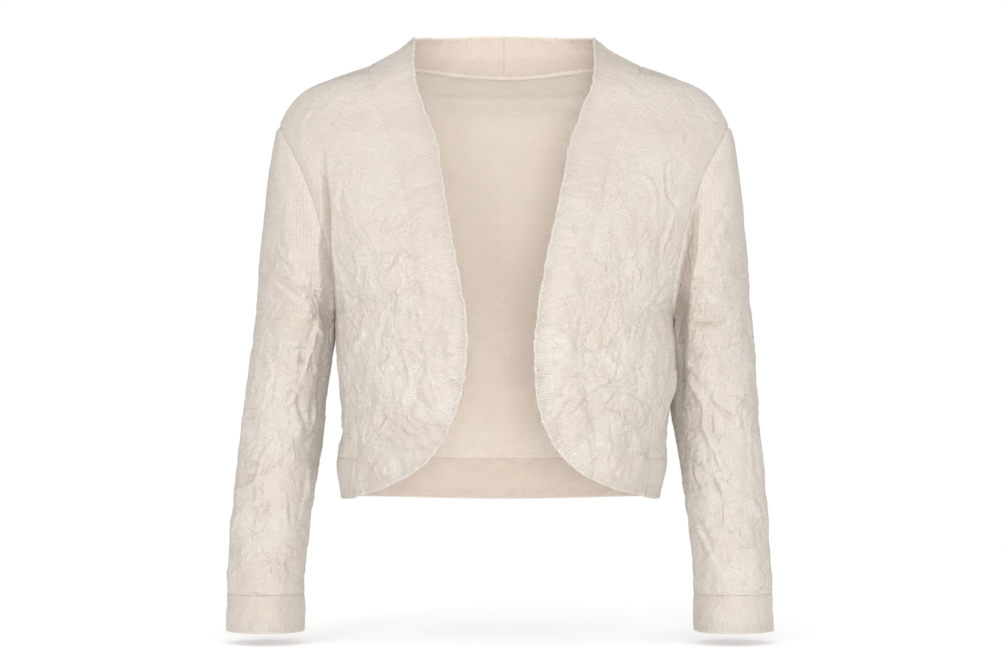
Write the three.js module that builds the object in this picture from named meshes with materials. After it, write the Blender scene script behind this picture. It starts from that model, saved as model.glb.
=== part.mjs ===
// A cropped, open-fronted knitted cardigan (a bolero) with long curved front bands, as it stands when
// worn: hollow, with no wearer inside. It is built from the pieces that a maker cuts and sews: a back,
// two fronts, two sleeves, a rib band in two halves that runs from the centre of the back neck down each
// front and round to the side seam, a hem band across the back, and two cuffs.
//
// Millimetres, +Z up, +X to the wearer's left, -Y to the front. The origin is on the middle line where the
// wearer's shoulders carry it, just below the points where the band meets the top of the shoulders.

import * as THREE from "three";

const { clamp, degToRad, lerp, radToDeg, smoothstep } = THREE.MathUtils;

// Cloth.
const CLOTH_WALL = 1.6; // single knit of the back, fronts and sleeves
const RIB_WALL = 2.4; // doubled rib of the bands and cuffs
const SEAM_GAP = 0.5;
const ARMHOLE_GAP = 2.3; // the sleeve's edge lies just outside the edge of the armhole

// Heights of the main lines.
const NECK_Z = 6;
const SHOULDER_POINT_Z = -50;
const UNDERARM_Z = -228;
const HEM_SEAM_Z = -364;
const HEM_Z = -403;
const HEM_CORNER_Z = -399; // where the hem band meets the front band
const BAND_TOP_SIDE_Z = 35;
const BAND_TOP_BACK_Z = 41;

// How far the armhole opens to the front and the back of the side line, in degrees round the body.
const ARMHOLE_FRONT_TURN = 27;
const ARMHOLE_BACK_TURN = 25;
const ARMHOLE_SHARPNESS = 0.8;

// How square a body section is: 0 is an ellipse.
const FRONT_SQUARENESS = 0.22;
const BACK_SQUARENESS = 0.25;

// Body sections from the top of the neck band to the hem. half: half the width. front, back: how far the
// centre front and centre back lie from y = 0. side_y: where the side line lies. dip: how much lower the
// centre back is.
const BODY = table(
  ["z", "half", "front", "back", "side_y", "dip"],
  [
    [42, 75, 27, 52, 0, 1],
    [31, 87, 31, 55, 0, 2],
    [21, 99, 36, 58, 0, 3],
    [12, 115, 41, 62, 0, 4],
    [6, 127, 45, 65, 0, 5],
    [3, 136, 46, 67, 0, 5],
    [-7, 165, 50, 73, 0, 4],
    [-16, 186, 54, 78, 0, 2],
    [-26, 198, 58, 82, 0, 1],
    [-37, 206, 62, 86, 0, 0],
    [-50, 212, 68, 90, 0, 0],
    [-62, 214, 74, 93, 0, 0],
    [-75, 212, 80, 96, 0, 0],
    [-105, 204, 94, 101, 0, 0],
    [-135, 195, 106, 103, 0, 0],
    [-165, 184, 115, 102, -2, 0],
    [-195, 172, 121, 99, -5, 0],
    [-228, 160, 124, 95, -8, 1],
    [-260, 158, 124, 92, -14, 2],
    [-300, 156, 122, 90, -16, 2],
    [-330, 155, 119, 90, -14, 4],
    [-366, 158, 116, 91, -10, 5],
    [-403, 150, 111, 88, -8, 6],
  ],
);

// How far each side stands out from the plain form, on the wearer's left and right: the side of the body,
// and the inner side of the sleeve.
const LEAN = table(
  ["z", "body_left", "body_right", "sleeve_left", "sleeve_right"],
  [
    [UNDERARM_Z, 0, 0, 0, 0],
    [-240, 0.5, 0, -2.5, -3],
    [-256, 3, 0, -3.2, -3],
    [-272, 4, 0, -1.9, -1],
    [-292, 4, -1, -0.8, 1],
    [-315, 1.5, -3, -1, 3],
    [-340, -2.4, -3.3, 0, 2],
    [-362, -4, -1.3, 0, 0.5],
    [-376, -4, 0, 0, 1.5],
    [HEM_Z, -3.6, 3, 0, 1.5],
  ],
);

// Stations along the front band, from the side of the neck to the side seam at the hem: its free edge,
// and the seam that joins it to the front, seen from the front. skew: how much further out the wearer's
// right side lies.
const BAND = table(
  ["station", "edge_x", "edge_z", "seam_x", "seam_z", "skew"],
  [
    [0, 84, BAND_TOP_SIDE_Z, 127, NECK_Z, 0],
    [1, 84, 12, 127, -4, 0],
    [2, 82, -12, 122, -22, 0],
    [3, 73, -37, 113, SHOULDER_POINT_Z, 0],
    [4, 60, -76, 100, -88, 0.5],
    [5, 51, -128, 88, -136, 1.5],
    [6, 41, -177, 80, -184, 2.3],
    [7, 33, -223, 73, UNDERARM_Z, 2.3],
    [8, 30, -260, 70, -261, 3],
    [9, 34, -303, 75, -295, 4.8],
    [10, 46, -340, 83, -320, 6.4],
    [11, 71, -371, 97, -340, 6.2],
    [12, 105, -390, 119, -355, 4],
    [13, 135, HEM_CORNER_Z, 137, HEM_SEAM_Z, 0],
  ],
);
const LAST_STATION = 13;

// The shoulder seam lies forward of the top of the shoulder at the neck and runs up to it. turn: degrees
// round the body from the centre back.
const SHOULDER_SEAM = table(
  ["z", "turn"],
  [
    [-4, 126],
    [-8, 115],
    [-12, 104],
    [-17, 96],
    [-24, 92],
    [-35, 90],
    [SHOULDER_POINT_Z, 90],
  ],
);

// The side seam drifts forward below the underarm.
const SIDE_SEAM = table(
  ["z", "x"],
  [
    [UNDERARM_Z, 160],
    [-260, 155],
    [-300, 147],
    [-335, 139],
    [HEM_SEAM_Z, 137],
    [HEM_CORNER_Z, 135],
  ],
);

// Sleeve sections below the armhole: the outer and inner points of each ring, its depth from front to
// back and the y of its middle.
const SLEEVE = table(
  ["section", "outer_x", "outer_z", "inner_x", "inner_z", "depth", "middle_y"],
  [
    [1, 221, -84, 166, -238, 110, 2],
    [2, 228, -140, 164.5, -258, 106, 7],
    [3, 233, -195, 164, -283, 101, 13],
    [4, 238, -250, 164.5, -310, 96, 17],
    [5, 244, -310, 166, -336, 92, 17],
    [6, 250, -366, 171, -366, 88, 14],
    [7, 255, -420, 179, -420, 84, 10],
    [8, 258, -470, 184, -470, 79, 7],
    [9, 259, -494, 185, -494, 77, 6],
    [10, 260, -530, 185, -530, 76, 5],
  ],
);
const CUFF_SECTION = 9;
const LAST_SECTION = 10;
const HANG_Z = -350; // the height where a sleeve's swing, which starts at the underarm, is complete

// Where the grids are sampled.
const FRONT_FIRST = 1.05; // the front starts just below the shoulder seam's end at the neck
const FRONT_LAST = 12.9; // and ends just short of the side seam
const STATIONS = [
  0, 0.5, FRONT_FIRST, 1.25, 1.5, 1.75, 2, 2.35, 2.7, 3, 3.15, 3.4, 3.7,
  4, 4.35, 4.7, 5, 5.35, 5.7, 6, 6.5, 7, 7.5,
  8, 8.5, 9, 9.5, 10, 10.5, 11, 11.5, 12, 12.5, FRONT_LAST, LAST_STATION,
];
const BACK_COLUMNS = 18;
const FRONT_COLUMNS = 8;
const BAND_COLUMNS = 2;
const HEM_ROWS = 2;
const SLEEVE_COLUMNS = 20;
const SLEEVE_SECTIONS = [
  0, 0.25, 0.6, 1, 1.5, 2, 2.5, 3, 3.5, 4, 4.5, 5, 5.5, 6, 6.5, 7, 7.6, 8.3, CUFF_SECTION,
];
const CUFF_SECTIONS = [CUFF_SECTION, 9.5, LAST_SECTION];

// Where folds die away: near the side line of the body (a share of the way to its middle), and near the
// armhole and the cuff (in sleeve sections).
const BODY_FADE = { none: 0.05, full: 0.35 };
const ARMHOLE_FADE = { none: 0.3, full: 2 };
const CUFF_FADE = { none: CUFF_SECTION, full: 8.3 };
const SLEEVE_ARC = 0.75; // millimetres round the sleeve in one degree

// The largest folds. Each runs straight from one place to another as a soft ridge, or as a trough where
// its height is under 0. On the body a place is its x and z.
const FRONT_FOLDS = table(
  ["from_x", "from_z", "to_x", "to_z", "width", "height"],
  [
    [-91, -171, -107, -197, 11, 3],
    [-107, -197, -126, -206, 10, 2.5],
    [-90, -180, -64, -192, 9, -2.5],
    [-109, -232, -98, -208, 9, -3],
    [-98, -216, -118, -260, 11, 3],
    [-102, -248, -87, -272, 9, -3],
    [-87, -272, -95, -310, 10, 3],
    [-147, -325, -129, -292, 11, -3],
    [-136, -352, -114, -335, 10, -2.5],
    [-116, -319, -81, -338, 9, 2.5],
    [107, -112, 128, -101, 10, 2.5],
    [130, -101, 141, -142, 11, -3],
    [152, -92, 150, -118, 9, 2.5],
    [159, -131, 147, -190, 11, 3],
    [79, -176, 93, -190, 8, -2.5],
    [117, -186, 122, -205, 9, 2.5],
    [88, -234, 93, -267, 10, -3],
    [106, -264, 75, -304, 11, 3],
    [71, -295, 58, -322, 9, -2.5],
    [130, -315, 136, -334, 9, -2.5],
  ],
);
const BACK_FOLDS = table(
  ["from_x", "from_z", "to_x", "to_z", "width", "height"],
  [
    [-110, -60, -30, -95, 18, -2.5],
    [120, -70, 40, -110, 18, -2.5],
    [-2, -150, -12, -230, 16, 2],
    [-148, -190, -90, -250, 14, 3],
    [146, -200, 100, -262, 14, 3],
    [-60, -270, -20, -340, 13, -2.5],
    [70, -285, 40, -350, 13, 2.5],
    [-130, -330, -80, -372, 12, 3],
    [130, -322, 96, -360, 12, -3],
  ],
);

// On a sleeve a place is its angle round the arm and its z. The angle is in degrees: 0 at the outside, 90
// at the front, 180 next to the body, 270 at the back.
const SLEEVE_FOLDS_LEFT = table(
  ["from_angle", "from_z", "to_angle", "to_z", "width", "height"],
  [
    [55, -119, 110, -183, 12, -2.5],
    [86, -198, 12, -191, 10, -2.5],
    [139, -240, 63, -235, 10, 3],
    [80, -290, 42, -288, 9, -2.5],
    [131, -292, 108, -318, 11, 3.5],
    [108, -318, 91, -376, 11, 3.5],
    [100, -312, 63, -330, 9, -3],
    [112, -383, 102, -400, 9, -2.5],
    [152, -419, 118, -459, 10, 3],
    [101, -430, 74, -456, 10, -3],
    [280, -150, 335, -190, 12, -2.5],
    [225, -250, 268, -288, 11, 3],
    [290, -240, 330, -262, 11, -3],
    [250, -330, 300, -370, 11, 3.5],
    [315, -300, 350, -335, 10, 2.5],
    [240, -400, 290, -440, 10, -3],
    [300, -420, 340, -460, 10, 3],
  ],
);
const SLEEVE_FOLDS_RIGHT = table(
  ["from_angle", "from_z", "to_angle", "to_z", "width", "height"],
  [
    [58, -169, 90, -181, 10, -2.5],
    [58, -197, 100, -216, 10, 3],
    [127, -240, 108, -289, 11, 4],
    [127, -240, 148, -257, 10, -3],
    [111, -301, 95, -318, 9, -3],
    [112, -303, 126, -339, 9, 3],
    [86, -345, 67, -385, 10, 3.5],
    [67, -385, 23, -399, 10, 3.5],
    [31, -372, 71, -370, 9, -3],
    [118, -405, 126, -429, 9, -2.5],
    [64, -439, 95, -435, 9, -2.5],
    [340, -150, 290, -185, 12, -2.5],
    [262, -246, 222, -282, 11, 3],
    [330, -252, 285, -276, 11, 3],
    [292, -318, 248, -352, 11, -3],
    [350, -330, 318, -362, 10, -2.5],
    [250, -392, 286, -432, 10, 3.5],
    [336, -424, 304, -458, 10, 3],
  ],
);

// The two sides. swing: how much further out (or in) than the middle of the two each sleeve hangs.
const SIDES = [
  { name: "left", sign: 1, swing: -4, folds: SLEEVE_FOLDS_LEFT },
  { name: "right", sign: -1, swing: 4, folds: SLEEVE_FOLDS_RIGHT },
];
// ---------------------------------------------------------------------------------------------------------
// Tables: rows with named columns, read between rows along a smooth curve that never overshoots a row.

function table(columns, rows) {
  const order = rows[1][0] > rows[0][0] ? rows : [...rows].reverse();
  const at = order.map((row) => row[0]);
  const curves = columns.map((_, c) => curveThrough(at, order.map((row) => row[c])));
  const read = (value) => Object.fromEntries(columns.map((name, c) => [name, curves[c](value)]));
  read.rows = rows.map((row) => Object.fromEntries(columns.map((name, c) => [name, row[c]])));
  return read;
}

function curveThrough(at, values) {
  const steps = at.slice(1).map((x, i) => x - at[i]);
  const slopes = steps.map((step, i) => (values[i + 1] - values[i]) / step);
  const tangents = at.map((_, i) => {
    const before = slopes[i - 1];
    const after = slopes[i];
    if (before === undefined || after === undefined) return before ?? after ?? 0;
    return before * after <= 0 ? 0 : (2 * before * after) / (before + after);
  });
  return (x) => {
    const clamped = clamp(x, at[0], at[at.length - 1]);
    let i = 0;
    while (i < steps.length - 1 && clamped > at[i + 1]) i += 1;
    const t = (clamped - at[i]) / steps[i];
    const rest = 1 - t;
    return (
      values[i] * rest * rest * (1 + 2 * t) +
      tangents[i] * steps[i] * t * rest * rest +
      values[i + 1] * t * t * (1 + 2 * rest) -
      tangents[i + 1] * steps[i] * t * t * rest
    );
  };
}

// ---------------------------------------------------------------------------------------------------------
// The body's form. turn is in degrees round the body: 0 at the centre back, 90 at the wearer's left side
// line, 180 at the centre front, and negative on the wearer's right.

function bodyPoint(turn, z) {
  const section = BODY(z);
  const angle = degToRad(turn);
  const along = Math.cos(angle);
  const across = Math.sin(angle);
  const behind = along > 0;
  const reach = behind ? section.back - section.side_y : section.front + section.side_y;
  const squareness = behind ? BACK_SQUARENESS : FRONT_SQUARENESS;
  const y = section.side_y + reach * along * (1 + squareness * across * across);
  const drop = behind ? section.dip * along * along : 0;
  const lean = across > 0 ? LEAN(z).body_left : -LEAN(z).body_right;
  return new THREE.Vector3(section.half * across + lean * across * across, y, z - drop);
}

// A place on the cloth, folds and all: where it is, and the way it faces. The folds die away at the side
// line.
function bodyCell(turn, z) {
  const across = bodyPoint(turn + 0.5, z).sub(bodyPoint(turn - 0.5, z));
  const down = bodyPoint(turn, z - 0.5).sub(bodyPoint(turn, z + 0.5));
  const facing = across.cross(down).normalize().negate();
  const at = bodyPoint(turn, z);
  const along = Math.cos(degToRad(turn));
  const height = foldHeight(along > 0 ? BACK_FOLDS : FRONT_FOLDS, at.x, at.z, 1);
  const calm = smoothstep(Math.abs(along), BODY_FADE.none, BODY_FADE.full);
  return { at: at.addScaledVector(facing, calm * height), facing };
}

// The turn that moves a place on the cloth sideways by a distance.
function turnOver(distance, turn, z) {
  return distance / bodyPoint(turn + 0.5, z).distanceTo(bodyPoint(turn - 0.5, z));
}

function frontTurn(x, z) {
  return 180 - radToDeg(Math.asin(Math.min(1, x / BODY(z).half)));
}

// How far the armhole opens at a height, as a share of its widest, and the height at an angle round it.
const ARMHOLE_MIDDLE_Z = (SHOULDER_POINT_Z + UNDERARM_Z) / 2;
const ARMHOLE_HALF_HEIGHT = (SHOULDER_POINT_Z - UNDERARM_Z) / 2;

function armholeShare(z) {
  const height = clamp((z - ARMHOLE_MIDDLE_Z) / ARMHOLE_HALF_HEIGHT, -1, 1);
  return Math.pow(Math.sqrt(1 - height * height), ARMHOLE_SHARPNESS);
}

// The turn where the back ends, and where the front starts, at a height: along the band's seam at the
// neck, the shoulder seam, the armhole and the side seam.
function outerTurn(z, isBack) {
  if (z >= SHOULDER_SEAM.rows[0].z) return frontTurn(BAND(stationOfHeight(z)).seam_x, z);
  if (z >= SHOULDER_POINT_Z) return SHOULDER_SEAM(z).turn;
  if (z > UNDERARM_Z) {
    return 90 + (isBack ? -ARMHOLE_BACK_TURN : ARMHOLE_FRONT_TURN) * armholeShare(z);
  }
  return frontTurn(SIDE_SEAM(z).x, z);
}

// The station where the band's seam is at a height. The seam falls all the way.
function stationOfHeight(z) {
  let low = 0;
  let high = LAST_STATION;
  while (high - low > 1e-6) {
    const middle = (low + high) / 2;
    if (BAND(middle).seam_z > z) low = middle;
    else high = middle;
  }
  return (low + high) / 2;
}

// The turn of the band's seam at a station on one side.
function seamTurn(station, side) {
  const band = BAND(station);
  return frontTurn(band.seam_x - side.sign * band.skew, band.seam_z);
}

// ---------------------------------------------------------------------------------------------------------
// Folds.

// Each fold's section is a bell, and its ends are round. unit is how many millimetres one step of
// "across" is, and period is how many steps go round a sleeve.
function foldHeight(folds, across, z, unit, period = Infinity) {
  const nearest = (step) => (period === Infinity ? step : step - period * Math.round(step / period));
  return folds.rows.reduce((sum, fold) => {
    const [fromAcross, fromZ, toAcross, toZ, width, height] = Object.values(fold);
    const run = new THREE.Vector2((toAcross - fromAcross) * unit, toZ - fromZ);
    const place = new THREE.Vector2(nearest(across - fromAcross) * unit, z - fromZ);
    const share = clamp(place.dot(run) / run.lengthSq(), 0, 1);
    const away = place.distanceTo(run.multiplyScalar(share));
    return sum + height * Math.exp(-((away / width) ** 2));
  }, 0);
}

// ---------------------------------------------------------------------------------------------------------
// Walls. A grid holds rows of cells in the middle of the cloth. The wall stands half the thickness to
// either side of them and is closed at its edges.

function wallGeometry(cells, thickness, isTube = false) {
  const rows = cells.length;
  const columns = cells[0].length;
  const wallSide = (share) =>
    cells.flat().map(({ at, facing }) => at.clone().addScaledVector(facing, share * thickness));
  const positions = [...wallSide(0.5), ...wallSide(-0.5)].flatMap((at) => at.toArray());
  const index = (layer, row, column) => (layer * rows + row) * columns + (column % columns);
  const faces = [];
  const quad = (a, b, c, d) => faces.push(a, b, c, a, c, d);
  const lastRow = rows - 1;
  const lastColumn = columns - 1;
  for (let row = 0; row < lastRow; row += 1) {
    for (let column = 0; column < (isTube ? columns : lastColumn); column += 1) {
      const corners = (layer) => [
        index(layer, row, column),
        index(layer, row, column + 1),
        index(layer, row + 1, column + 1),
        index(layer, row + 1, column),
      ];
      quad(...corners(0));
      quad(...corners(1).reverse());
    }
    if (isTube) continue;
    quad(index(0, row, 0), index(0, row + 1, 0), index(1, row + 1, 0), index(1, row, 0));
    const end = lastColumn;
    quad(index(0, row + 1, end), index(0, row, end), index(1, row, end), index(1, row + 1, end));
  }
  for (let column = 0; column < (isTube ? columns : lastColumn); column += 1) {
    const next = column + 1;
    quad(index(0, 0, next), index(0, 0, column), index(1, 0, column), index(1, 0, next));
    quad(
      index(0, lastRow, column),
      index(0, lastRow, next),
      index(1, lastRow, next),
      index(1, lastRow, column),
    );
  }
  if (signedVolume(positions, faces) < 0) faces.reverse();
  const geometry = new THREE.BufferGeometry();
  geometry.setAttribute("position", new THREE.Float32BufferAttribute(positions, 3));
  geometry.setIndex(faces);
  geometry.computeVertexNormals();
  return geometry;
}

function signedVolume(positions, faces) {
  const corner = (i) => new THREE.Vector3().fromArray(positions, faces[i] * 3);
  let sum = 0;
  for (let i = 0; i < faces.length; i += 3) sum += corner(i).dot(corner(i + 1).cross(corner(i + 2)));
  return sum / 6;
}

function shares(count) {
  return Array.from({ length: count + 1 }, (_, i) => i / count);
}

// ---------------------------------------------------------------------------------------------------------
// Pieces of the body.

function backGrid() {
  return STATIONS.map((station) => {
    const z = BAND(station).seam_z;
    const edge = outerTurn(z, true);
    return shares(BACK_COLUMNS).map((share) => bodyCell(lerp(-edge, edge, share), z));
  });
}

function frontGrid(side) {
  const stations = STATIONS.filter((station) => station >= FRONT_FIRST && station <= FRONT_LAST);
  return stations.map((station) => {
    const z = BAND(station).seam_z;
    const seam = outerTurn(z, false);
    const outer = seam + turnOver(SEAM_GAP, seam, z);
    const inner = seamTurn(station, side);
    return shares(FRONT_COLUMNS).map((share) => bodyCell(side.sign * lerp(outer, inner, share), z));
  });
}

// The band's strip runs from the centre of the back neck round to the side, then down the front.
function bandGrid(side) {
  const reach = (width) => shares(BAND_COLUMNS).map((share) => share * (1 - SEAM_GAP / width));
  const backTurns = shares(BACK_COLUMNS / 2).slice(0, -1).map((share) => 90 * share);
  const centreGap = turnOver(SEAM_GAP / 2, 0, NECK_Z);
  const behind = backTurns.map((turn) => {
    const top = lerp(BAND_TOP_SIDE_Z, BAND_TOP_BACK_Z, Math.cos(degToRad(turn)) ** 2);
    return reach(top - NECK_Z).map((share) =>
      bodyCell(side.sign * Math.max(turn, centreGap), lerp(top, NECK_Z, share)),
    );
  });
  const before = STATIONS.map((station) => {
    const band = BAND(station);
    const shift = side.sign * band.skew;
    const width = Math.hypot(band.seam_x - band.edge_x, band.seam_z - band.edge_z);
    return reach(width).map((share) => {
      const x = lerp(band.edge_x, band.seam_x, share) - shift;
      const z = lerp(band.edge_z, band.seam_z, share);
      return bodyCell(side.sign * frontTurn(x, z), z);
    });
  });
  return [...behind, ...before];
}

function hemGrid() {
  const top = HEM_SEAM_Z - SEAM_GAP;
  const side = outerTurn(HEM_SEAM_Z, true);
  const bottom = (turn) => {
    const corner = clamp((Math.abs(turn) - 90) / (side - 90), 0, 1);
    return lerp(HEM_Z, HEM_CORNER_Z, corner ** 3);
  };
  return shares(HEM_ROWS).map((down) => {
    const seam = outerTurn(lerp(top, HEM_CORNER_Z, down), true);
    const edge = seam - turnOver(SEAM_GAP, seam, top);
    return shares(BACK_COLUMNS).map((share) => {
      const turn = lerp(-edge, edge, share);
      return bodyCell(turn, lerp(top, bottom(turn), down));
    });
  });
}

// ---------------------------------------------------------------------------------------------------------
// Sleeves. angle is in degrees round the arm: 0 at the outside, 90 at the front, 180 next to the body.

function armholePoint(angle) {
  const radians = degToRad(angle);
  const z = ARMHOLE_MIDDLE_Z + ARMHOLE_HALF_HEIGHT * Math.cos(radians);
  const open = Math.sin(radians) > 0 ? ARMHOLE_FRONT_TURN : -ARMHOLE_BACK_TURN;
  const point = bodyPoint(90 + open * armholeShare(z), z);
  point.x += ARMHOLE_GAP;
  return point;
}

function ringPoint(ring, angle) {
  const radians = degToRad(angle);
  const outer = new THREE.Vector3(ring.outer_x, ring.middle_y, ring.outer_z);
  const inner = new THREE.Vector3(ring.inner_x, ring.middle_y, ring.inner_z);
  const point = inner.lerp(outer, (1 + Math.cos(radians)) / 2);
  point.y -= (ring.depth / 2) * Math.sin(radians);
  return point;
}

// One line down a sleeve: from the armhole through every ring.
function sleeveLine(angle, side) {
  const points = [armholePoint(angle), ...SLEEVE.rows.map((ring) => ringPoint(ring, angle))];
  const at = points.map((_, i) => i);
  const axes = ["x", "y", "z"].map((axis) => curveThrough(at, points.map((point) => point[axis])));
  const inward = (1 - Math.cos(degToRad(angle))) / 2;
  return (section) => {
    const point = new THREE.Vector3(...axes.map((axis) => axis(section)));
    const hang = smoothstep(-point.z, -UNDERARM_Z, -HANG_Z);
    const lean = point.z < UNDERARM_Z ? LEAN(point.z)[`sleeve_${side.name}`] : 0;
    point.x = side.sign * (point.x + side.swing * hang + lean * inward * inward);
    return point;
  };
}

function sleeveGrid(sections, side, firstGap = 0) {
  const lines = shares(SLEEVE_COLUMNS).slice(0, -1).map((share) => sleeveLine(360 * share, side));
  return sections.map((section, row) =>
    lines.map((line, column) => {
      const before = lines.at(column - 1);
      const after = lines[(column + 1) % lines.length];
      const across = after(section).sub(before(section));
      const down = line(section + 0.02).sub(line(Math.max(0, section - 0.02)));
      const facing = across.cross(down).normalize().multiplyScalar(side.sign);
      const at = line(section);
      const calm =
        smoothstep(section, ARMHOLE_FADE.none, ARMHOLE_FADE.full) *
        smoothstep(-section, -CUFF_FADE.none, -CUFF_FADE.full);
      const height = foldHeight(side.folds, (360 * column) / lines.length, at.z, SLEEVE_ARC, 360);
      at.addScaledVector(facing, calm * height);
      if (row === 0) at.z -= firstGap;
      return { at, facing };
    }),
  );
}

// ---------------------------------------------------------------------------------------------------------
// The cardigan.

const cloth = new THREE.MeshStandardMaterial({
  name: "cloth",
  color: 0xe6dccf,
  roughness: 0.75,
  metalness: 0.15,
});
const rib = new THREE.MeshStandardMaterial({
  name: "rib",
  color: 0xe0d3c4,
  roughness: 0.85,
  metalness: 0.1,
});

const cardigan = new THREE.Group();

function addPiece(name, geometry, material) {
  const mesh = new THREE.Mesh(geometry, material);
  mesh.name = name;
  cardigan.add(mesh);
}

addPiece("back", wallGeometry(backGrid(), CLOTH_WALL), cloth);
addPiece("hem_band_back", wallGeometry(hemGrid(), RIB_WALL), rib);
for (const side of SIDES) {
  addPiece(`front_${side.name}`, wallGeometry(frontGrid(side), CLOTH_WALL), cloth);
  addPiece(`front_band_${side.name}`, wallGeometry(bandGrid(side), RIB_WALL), rib);
  addPiece(`sleeve_${side.name}`, wallGeometry(sleeveGrid(SLEEVE_SECTIONS, side), CLOTH_WALL, true), cloth);
  addPiece(`cuff_${side.name}`, wallGeometry(sleeveGrid(CUFF_SECTIONS, side, SEAM_GAP), RIB_WALL, true), rib);
}

export default cardigan;
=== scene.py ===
"""The looks of the cropped open-front cardigan: fine knit shells on the form of its solids, with their
creases, seams and rounded edges. Lengths are millimetres until a mesh is made, in the frame of the solids:
+Z up, +X to the wearer's left, -Y to the front."""

import bpy
import numpy as np
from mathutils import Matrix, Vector


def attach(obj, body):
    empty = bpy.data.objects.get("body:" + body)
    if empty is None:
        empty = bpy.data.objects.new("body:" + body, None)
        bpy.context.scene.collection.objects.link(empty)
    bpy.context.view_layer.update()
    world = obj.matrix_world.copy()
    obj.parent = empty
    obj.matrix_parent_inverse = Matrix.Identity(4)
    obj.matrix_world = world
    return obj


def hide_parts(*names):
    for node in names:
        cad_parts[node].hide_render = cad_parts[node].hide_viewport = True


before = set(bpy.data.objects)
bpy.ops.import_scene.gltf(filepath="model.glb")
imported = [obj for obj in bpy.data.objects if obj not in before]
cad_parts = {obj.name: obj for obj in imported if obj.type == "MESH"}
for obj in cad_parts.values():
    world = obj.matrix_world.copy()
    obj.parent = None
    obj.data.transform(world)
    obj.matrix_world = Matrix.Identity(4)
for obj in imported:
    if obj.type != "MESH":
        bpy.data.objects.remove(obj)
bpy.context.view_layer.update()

MM = 0.001

# --------------------------------------------------
# Tables: rows with named columns, read between rows along a smooth curve that never overshoots a row.


def curve_through(at, values):
    """The curve, for values that may be numbers or points."""
    at = np.asarray(at, float)
    values = np.asarray(values, float)
    wide = (slice(None),) + (None,) * (values.ndim - 1)
    steps = np.diff(at)
    slopes = np.diff(values, axis=0) / steps[wide]
    tangents = np.zeros_like(values)
    tangents[0], tangents[-1] = slopes[0], slopes[-1]
    before, after = slopes[:-1], slopes[1:]
    flips = before * after <= 0
    sums = np.where(flips, 1, before + after)
    tangents[1:-1] = np.where(flips, 0, 2 * before * after / sums)

    def read(x):
        x = np.clip(np.asarray(x, float), at[0], at[-1])
        i = np.clip(np.searchsorted(at, x) - 1, 0, len(steps) - 1)
        step = steps[i]
        t = (x - at[i]) / step
        if values.ndim > 1:
            t, step = t[..., None], step[..., None]
        rest = 1 - t
        return (
            values[i] * rest**2 * (1 + 2 * t)
            + tangents[i] * step * t * rest**2
            + values[i + 1] * t**2 * (1 + 2 * rest)
            - tangents[i + 1] * step * t**2 * rest
        )

    return read


class Table:
    """A curve for each column, by its name, over the first column."""

    def __init__(self, columns, *rows):
        rows = np.array(rows, float)
        rows = rows if rows[1, 0] > rows[0, 0] else rows[::-1]
        for column, name in enumerate(columns.split()):
            setattr(self, name, curve_through(rows[:, 0], rows[:, column]))


# --------------------------------------------------
# The form, as the solids have it.

NECK_Z = 6
SHOULDER_NECK_Z = -4
SHOULDER_POINT_Z = -50
UNDERARM_Z = -228
HEM_SEAM_Z = -364
HEM_CORNER_Z = -399
HEM_Z = -403
BAND_TOP_SIDE_Z = 35
BAND_TOP_BACK_Z = 41
BAND_WIDTH = 44
HEM_WIDTH = 38
CUFF_LENGTH = 36
# How far an armhole opens before and behind the side line, in degrees, and how full its ends are.
ARMHOLE_FRONT_TURN = 27
ARMHOLE_BACK_TURN = 25
ARMHOLE_SHARPNESS = 0.8
ARMHOLE_GAP = 2.3  # how far outside its armhole a sleeve starts
# How much fuller than half an ellipse the body is, in front and behind.
FRONT_SQUARENESS = 0.22
BACK_SQUARENESS = 0.25

# half: half the width. front, back: how far the body reaches each way. side_y: the side line's place. dip:
# how far the cloth drops at the centre back.
BODY = Table(
    "z half front back side_y dip",
    [42, 75, 27, 52, 0, 1],
    [31, 87, 31, 55, 0, 2],
    [21, 99, 36, 58, 0, 3],
    [12, 115, 41, 62, 0, 4],
    [6, 127, 45, 65, 0, 5],
    [3, 136, 46, 67, 0, 5],
    [-7, 165, 50, 73, 0, 4],
    [-16, 186, 54, 78, 0, 2],
    [-26, 198, 58, 82, 0, 1],
    [-37, 206, 62, 86, 0, 0],
    [-50, 212, 68, 90, 0, 0],
    [-62, 214, 74, 93, 0, 0],
    [-75, 212, 80, 96, 0, 0],
    [-105, 204, 94, 101, 0, 0],
    [-135, 195, 106, 103, 0, 0],
    [-165, 184, 115, 102, -2, 0],
    [-195, 172, 121, 99, -5, 0],
    [-228, 160, 124, 95, -8, 1],
    [-260, 158, 124, 92, -14, 2],
    [-300, 156, 122, 90, -16, 2],
    [-330, 155, 119, 90, -14, 4],
    [-366, 158, 116, 91, -10, 5],
    [-403, 150, 111, 88, -8, 6],
)

# How far each side stands out from the plain form: the side of the body, and the inner side of the sleeve.
LEAN = Table(
    "z body_left body_right sleeve_left sleeve_right",
    [UNDERARM_Z, 0, 0, 0, 0],
    [-240, 0.5, 0, -2.5, -3],
    [-256, 3, 0, -3.2, -3],
    [-272, 4, 0, -1.9, -1],
    [-292, 4, -1, -0.8, 1],
    [-315, 1.5, -3, -1, 3],
    [-340, -2.4, -3.3, 0, 2],
    [-362, -4, -1.3, 0, 0.5],
    [-376, -4, 0, 0, 1.5],
    [HEM_Z, -3.6, 3, 0, 1.5],
)

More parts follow.
